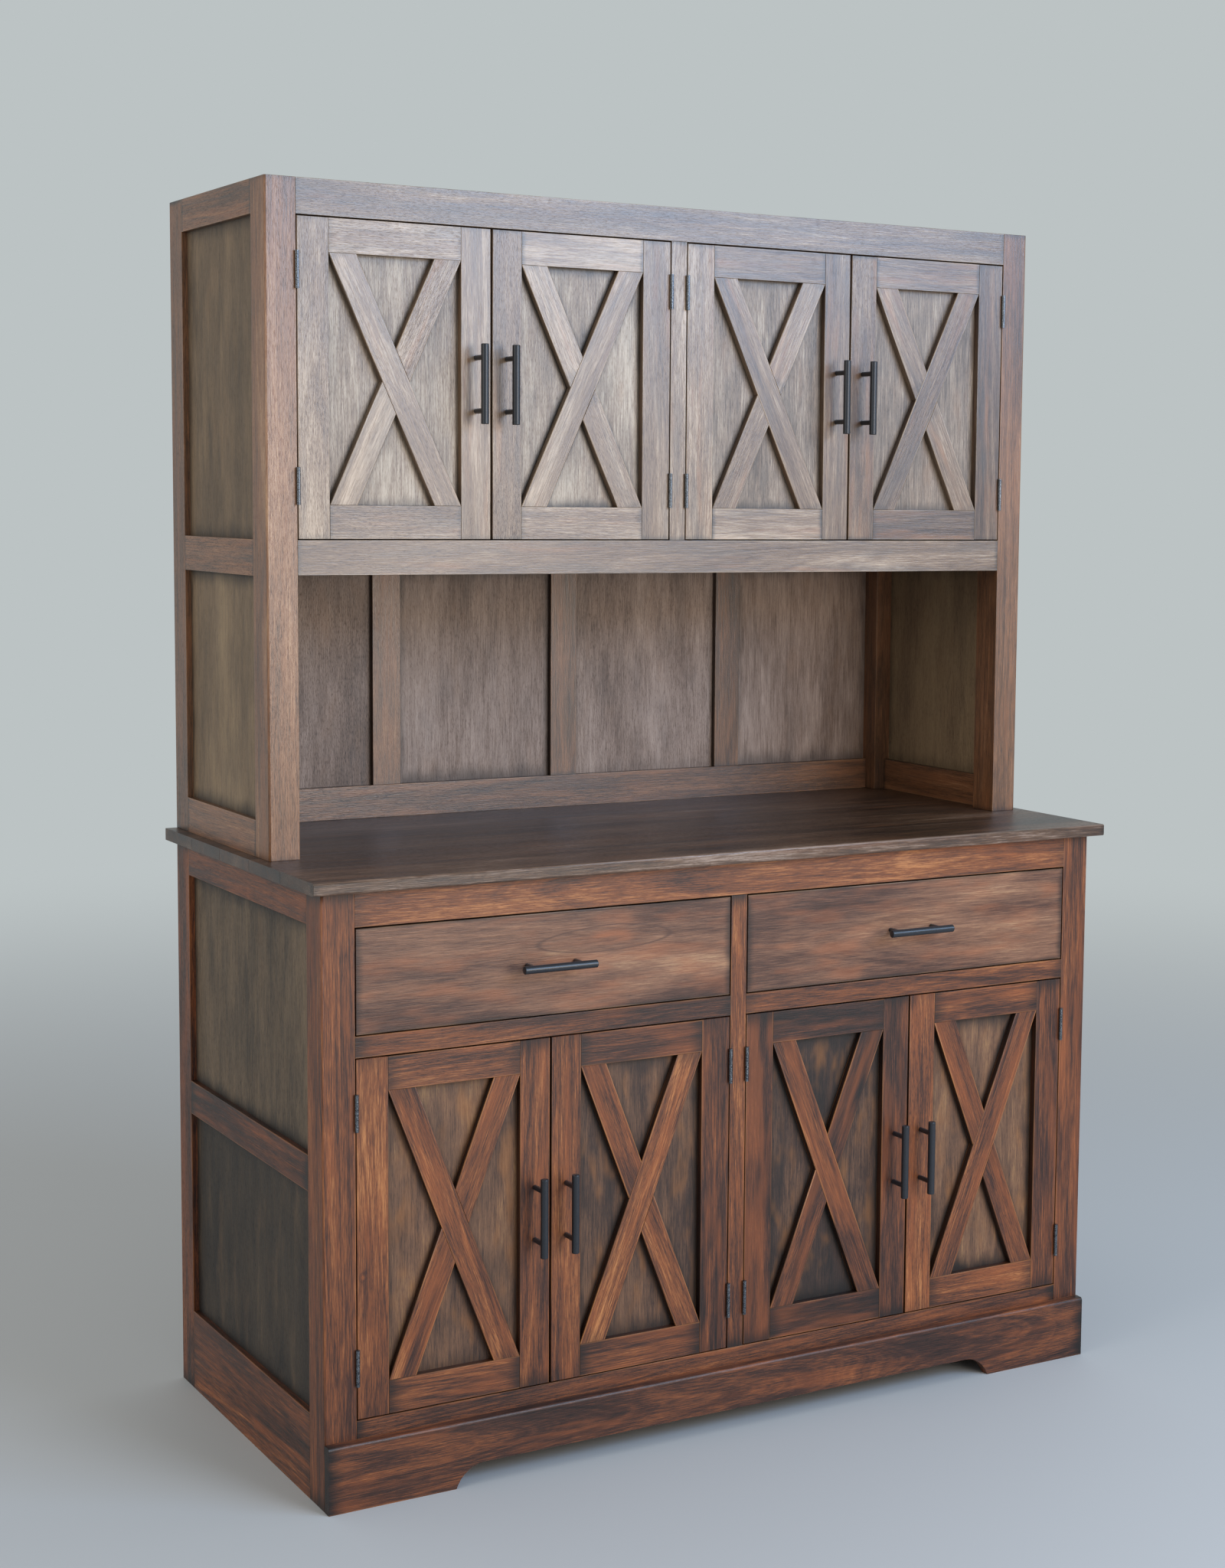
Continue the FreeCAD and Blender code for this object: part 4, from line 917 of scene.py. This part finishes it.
for side, lean in DRAWER_LEAN.items():
    front = board(*packed(f"{side}_drawer_front"), "xz", radii=EASED, look=DRAWER_LOOK,
                  heart=DRAWER_HEART, lean=lean, dark=DRAWER_GLAZE_SHADE, pores=DRAWER_PORES,
                  knot=DRAWER_EYE if side == "left" else None)
    piece(f"{side}_drawer_front_board", [front], woods["drawer_hardwood"], f"{side}_drawer",
          [f"{side}_drawer_front"])
    x, y, z = packed(f"{side}_drawer_box")
    bottom = z[0] + BOTTOM_UP
    box = [
        plain_board((x[0], x[0] + DRAWER_THICK), y, z, "yz"),
        plain_board((x[1] - DRAWER_THICK, x[1]), y, z, "yz"),
        plain_board((x[0] + DRAWER_THICK, x[1] - DRAWER_THICK), (y[1] - DRAWER_THICK, y[1]),
                    (bottom + SHEET, z[1]), "xz"),
        plain_board((x[0] + GROOVE, x[1] - GROOVE), (y[0], y[1] - PLAY), (bottom, bottom + SHEET),
                    "xy", radii=CUT, heart=BOTTOM_HEART),
    ]
    piece(f"{side}_drawer_box_boards", box, woods["inside_wood"], f"{side}_drawer",
          [f"{side}_drawer_box"])
print("drawers made")

# %% [markdown]
# ## Inside
#
# Nothing inside shows while the doors are shut, but they open. Floors, shelves,
# partitions, cleats and runners are boards of the same making in a plainer stain, so
# they need nothing but their places. A door closes against a block over its free edge.


# %% Decks, partitions, shelves and small strips
RUNNER, CLEAT, SHELF_BACK, LONG_STAVES = 28, 18, 42, 3
STOP_AT, STOP_THICK, STOP_HIGH, HALF_STOP = 22.3, 18, 14, 30


def deck(case, low):
    """Staves across the case; the first and last are shorter and leave room for the posts."""
    numbers = CASES[case]
    first = numbers["face"] + FRONT_THICK
    posts = (numbers["face"] + POST_DEEP, BACK_Y - POST_DEEP)
    rows = [first, *np.linspace(*posts, LONG_STAVES + 1), BACK_FRONT]
    staves = []
    for i, (near, far) in enumerate(zip(rows, rows[1:])):
        reach = numbers["inner"] if i in (0, len(rows) - 2) else RIGHT_X - SIDE_RAIL
        staves.append(plain_board((-reach, reach), (near, far), (low, low + DECK_THICK), "xy", radii=GLUED))
    return staves


inside = {
    "base_floor": deck("base", base["open_low"] - DECK_THICK),
    "cupboard_floor": deck("hutch", hutch["open_low"] - DECK_THICK),
    "top_board": deck("hutch", hutch["top"] - DECK_THICK),
    "partitions": [
        plain_board((-HALF_PARTITION, HALF_PARTITION), (y[1], BACK_FRONT), z, "zy")
        for y, z in ((base_y, (base["open_low"], base["top"])),
                     (hutch_y, (hutch["open_low"], hutch["top"] - DECK_THICK)))
    ],
    "shelves": [], "shelf_cleats": [], "door_stops": [],
    "drawer_runners": [
        plain_board((left, left + RUNNER), (base_y[1], BACK_FRONT), between_rails, "yz")
        for left in (base_x[0], -HALF_PARTITION - RUNNER, HALF_PARTITION, base_x[1] - RUNNER)
    ],
}
for case, numbers in CASES.items():
    shelf = (numbers["open_low"] + numbers["open_top"] - DECK_THICK) / 2
    y = (numbers["face"] + SHELF_BACK, BACK_FRONT)
    inner = numbers["inner"]
    for sign in (-1, 1):
        x = sorted((sign * (HALF_PARTITION + PLAY), sign * (inner - PLAY)))
        inside["shelves"].append(
            plain_board(x, (y[0], y[1] - PLAY), (shelf, shelf + DECK_THICK), "xy", radii=EASED))
        for end in ((HALF_PARTITION, HALF_PARTITION + CLEAT), (inner - CLEAT, inner)):
            inside["shelf_cleats"].append(
                plain_board(sorted(sign * v for v in end), y, (shelf - CLEAT, shelf), "yz"))
        meeting = sign * (inner + CENTRE) / 2
        near = numbers["face"] + STOP_AT
        inside["door_stops"].append(plain_board(
            (meeting - HALF_STOP, meeting + HALF_STOP), (near, near + STOP_THICK),
            (numbers["open_top"] - STOP_HIGH, numbers["open_top"]), "xz", radii=EASED))
for name, boards in inside.items():
    piece(f"{name}_boards", boards, woods["inside_wood"], "case", [name])
print("inside", {name: len(boards) for name, boards in inside.items()})

# %% [markdown]
# ## Pulls
#
# A pull is a turned bar on two turned posts, so each is a profile carried round an
# axis: distance along the axis against radius. The bar's ends have a small chamfer, and
# behind the wood each post has its screw with a washer head. Faces that meet at more
# than CRISP keep a sharp line between them, so the chamfers stay crisp.

# %% Turned shapes
AROUND = 40


def turned(start, axis, profile):
    """Rings of radius r at distance s along the axis, at AROUND angles; the ends close flat."""
    axis = np.asarray(axis, float)
    side = np.cross(axis, (0, 0, 1) if abs(axis[2]) < 0.5 else (1, 0, 0))
    other = np.cross(axis, side)
    angle = np.arange(AROUND) * 2 * math.pi / AROUND
    circle = np.cos(angle)[:, None] * side + np.sin(angle)[:, None] * other
    s, r = np.array(profile, float).T
    points = np.asarray(start) + s[:, None, None] * axis + r[:, None, None] * circle
    faces = tube(len(s), AROUND)
    smooth = [True] * (len(faces) - 2) + [False, False]
    return {"points": points.reshape(-1, 3), "faces": faces, "smooth": smooth}


BAR_LONG, BAR_RADIUS, POST_AT = 120, 6.0, 40
CRISP = math.radians(28)
BAR = ((0, 5.0), (0.3, 5.6), (1.0, BAR_RADIUS),
       (BAR_LONG - 1.0, BAR_RADIUS), (BAR_LONG - 0.3, 5.6), (BAR_LONG, 5.0))
POST = ((0, 4.0), (26.5, 4.0), (27, 3.9), (31.6, 3.9), (32, 3.6))
HEAD = ((0, 2.4), (0.2, 3.6), (0.5, 4.0), (1.3, 4.0), (1.9, 3.4), (2.5, 2.2))


def pull(middle, along, back):
    """The bar through its middle, two posts towards the wood and a screw head behind each."""
    along, back = np.array(along, float), np.array(back, float)
    shapes = [turned(middle - BAR_LONG / 2 * along, along, BAR)]
    behind_wood = POST[-1][0] + DOOR_THICK
    for end in (-POST_AT, POST_AT):
        foot = middle + end * along
        shapes.append(turned(foot, back, POST))
        shapes.append(turned(foot + behind_wood * back, back, HEAD))
    return shapes


pulls = [f"{row}_door_{n}" for row in ROWS for n in (1, 2, 3, 4)] + ["left_drawer", "right_drawer"]
for owner in pulls:
    spans = packed(f"{owner}_pull")
    along = AXES["x" if "drawer" in owner else "z"]
    middle = np.mean(spans, axis=1)
    middle[1] = spans[1][0] + BAR_RADIUS
    made = piece(f"{owner}_pull_bar", pull(middle, along, AXES["y"]), coat, owner,
                 [f"{owner}_pull"])
    made.data.set_sharp_from_angle(angle=CRISP)
print("pulls", len(pulls))

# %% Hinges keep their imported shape
hinges = [node for name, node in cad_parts.items() if "hinge" in name]
for node in hinges:
    node.data.materials.clear()
    node.data.materials.append(zinc)
print("hinge nodes", len(hinges))

# %% [markdown]
# ## The studio
#
# The lacquer mirrors a bright, cool light high to the front right, which lays a bluish
# veil over the hutch. The base mirrors something darker, so its stain looks deeper. Here
# a wide bluish lamp makes the veil, a smaller warm one below it lights the base, and a
# weak one at the left fills the side. The surround is even and pale.


# %% Floor and surround
FLOOR_RADIUS, RIM_STEPS, FADE_FROM, FADE_TO = 20, 64, 1.6, 6
PAINT, PAINT_DULL, FAINT, FAINT_STRENGTH = "#bdc0c0", 0.7, "#f4f6f8", 0.58
SURROUND = "#bcc3c4"


def seen_ray(tree):
    """1 for what the camera sees, straight, mirrored or through glass, and 0 for light."""
    path = add(tree, "LightPath").outputs
    ray = add(tree, "Math MAXIMUM", [path["Is Camera Ray"], path["Is Glossy Ray"]])
    return add(tree, "Math MAXIMUM", [ray, path["Is Transmission Ray"]])


def floor_material(surround):
    """Pale paint that fades, far from the object, into the surround's own colour."""
    material, tree, shader = new_material("pale_floor")
    fill(shader, {"Base Color": linear(PAINT), "Roughness": PAINT_DULL})
    where = add(tree, "TexCoord").outputs["Object"]
    far = add(tree, "VectorMath LENGTH", [where]).outputs["Value"]
    fade = add(tree, "MapRange", [far, FADE_FROM, FADE_TO], **SMOOTH)
    glow = add(tree, "Emission", [linear(surround), 1])
    fade = add(tree, "Math MULTIPLY", [fade, seen_ray(tree)])
    fill(tree.nodes["Material Output"], [add(tree, "MixShader", [fade, shader, glow])])
    return material


angle = np.linspace(0, 2 * math.pi, RIM_STEPS, endpoint=False)
disc = bpy.data.meshes.new("floor")
rim = FLOOR_RADIUS * np.column_stack([np.cos(angle), np.sin(angle), 0 * angle])
disc.from_pydata(rim.tolist(), [], [list(range(len(rim)))])
disc.materials.append(floor_material(SURROUND))
placed("floor", disc)

world = bpy.data.worlds.new("surround")
world.use_nodes = True
bpy.context.scene.world = world
tree = world.node_tree
background = tree.nodes["Background"]
fill(background, [linear(FAINT), FAINT_STRENGTH])
seen = add(tree, "Background", [linear(SURROUND), 1])
fill(tree.nodes["World Output"], [add(tree, "MixShader", [seen_ray(tree), background, seen])])
print("surround", SURROUND)


# %% Three soft lamps
def lamp(name, place, target, wide, high, power, colour):
    """A soft rectangular lamp that the camera doesn't see, turned towards a point."""
    light = bpy.data.lights.new(name, "AREA")
    light.shape = "RECTANGLE"
    light.size, light.size_y, light.energy = wide, high, power
    light.color = linear(colour)[:3]
    made = placed(name, light)
    made.location = place
    made.rotation_euler = (Vector(target) - Vector(place)).to_track_quat("-Z", "Y").to_euler()
    made.visible_camera = False


lamp("high", (2.1, -3.9, 2.98), (0.1, 0, 1.5), 3.4, 1.6, 180, "#b2d2fa")
lamp("low", (0.9, -3.9, 1.35), (0, 0, 1.2), 1.6, 1.5, 55, "#fff1e2")
lamp("side", (-4.1, -0.9, 2.7), (-0.7, 0, 1.7), 2.2, 2.0, 36, "#fff4e8")
print("lamps", [light.name for light in bpy.data.lights])

# %% [markdown]
# ## The camera
#
# The camera was fitted to edges of the cabinet in the photograph. In that fit the lens
# doesn't point at the picture's middle, as happens when a picture is cropped, and a
# small shift stands for that.

# %% The camera
FOCAL_PX, LONG_PX, SENSOR = 3206.26, 2048, 36
PITCH, ROLL, YAW = -5.6333, 0.6229, 31.1764
AXIS_PX = (970.73, 968.13)
CAMERA_AT = (-1.9437, -3.5143, 1.4578)
IMAGE_PX = (1600, LONG_PX)
lens = bpy.data.cameras.new("camera")
lens.sensor_width = SENSOR
lens.lens = FOCAL_PX / LONG_PX * SENSOR
lens.shift_x = (IMAGE_PX[0] / 2 - AXIS_PX[0]) / LONG_PX
lens.shift_y = (AXIS_PX[1] - IMAGE_PX[1] / 2) / LONG_PX
lens.clip_end = 100
camera = placed("camera", lens)
pitch, roll, yaw = (math.radians(v) for v in (PITCH, ROLL, YAW))
stand = Matrix.Translation(CAMERA_AT)
for angle, axis in ((-yaw, "Z"), (math.pi / 2 + pitch, "X"), (roll, "Z")):
    stand = stand @ Matrix.Rotation(angle, 4, axis)
camera.matrix_world = stand
bpy.context.scene.camera = camera
bpy.context.scene.view_settings.view_transform = "Standard"
print("lens", round(lens.lens, 2), "shift", round(lens.shift_x, 4), round(lens.shift_y, 4))
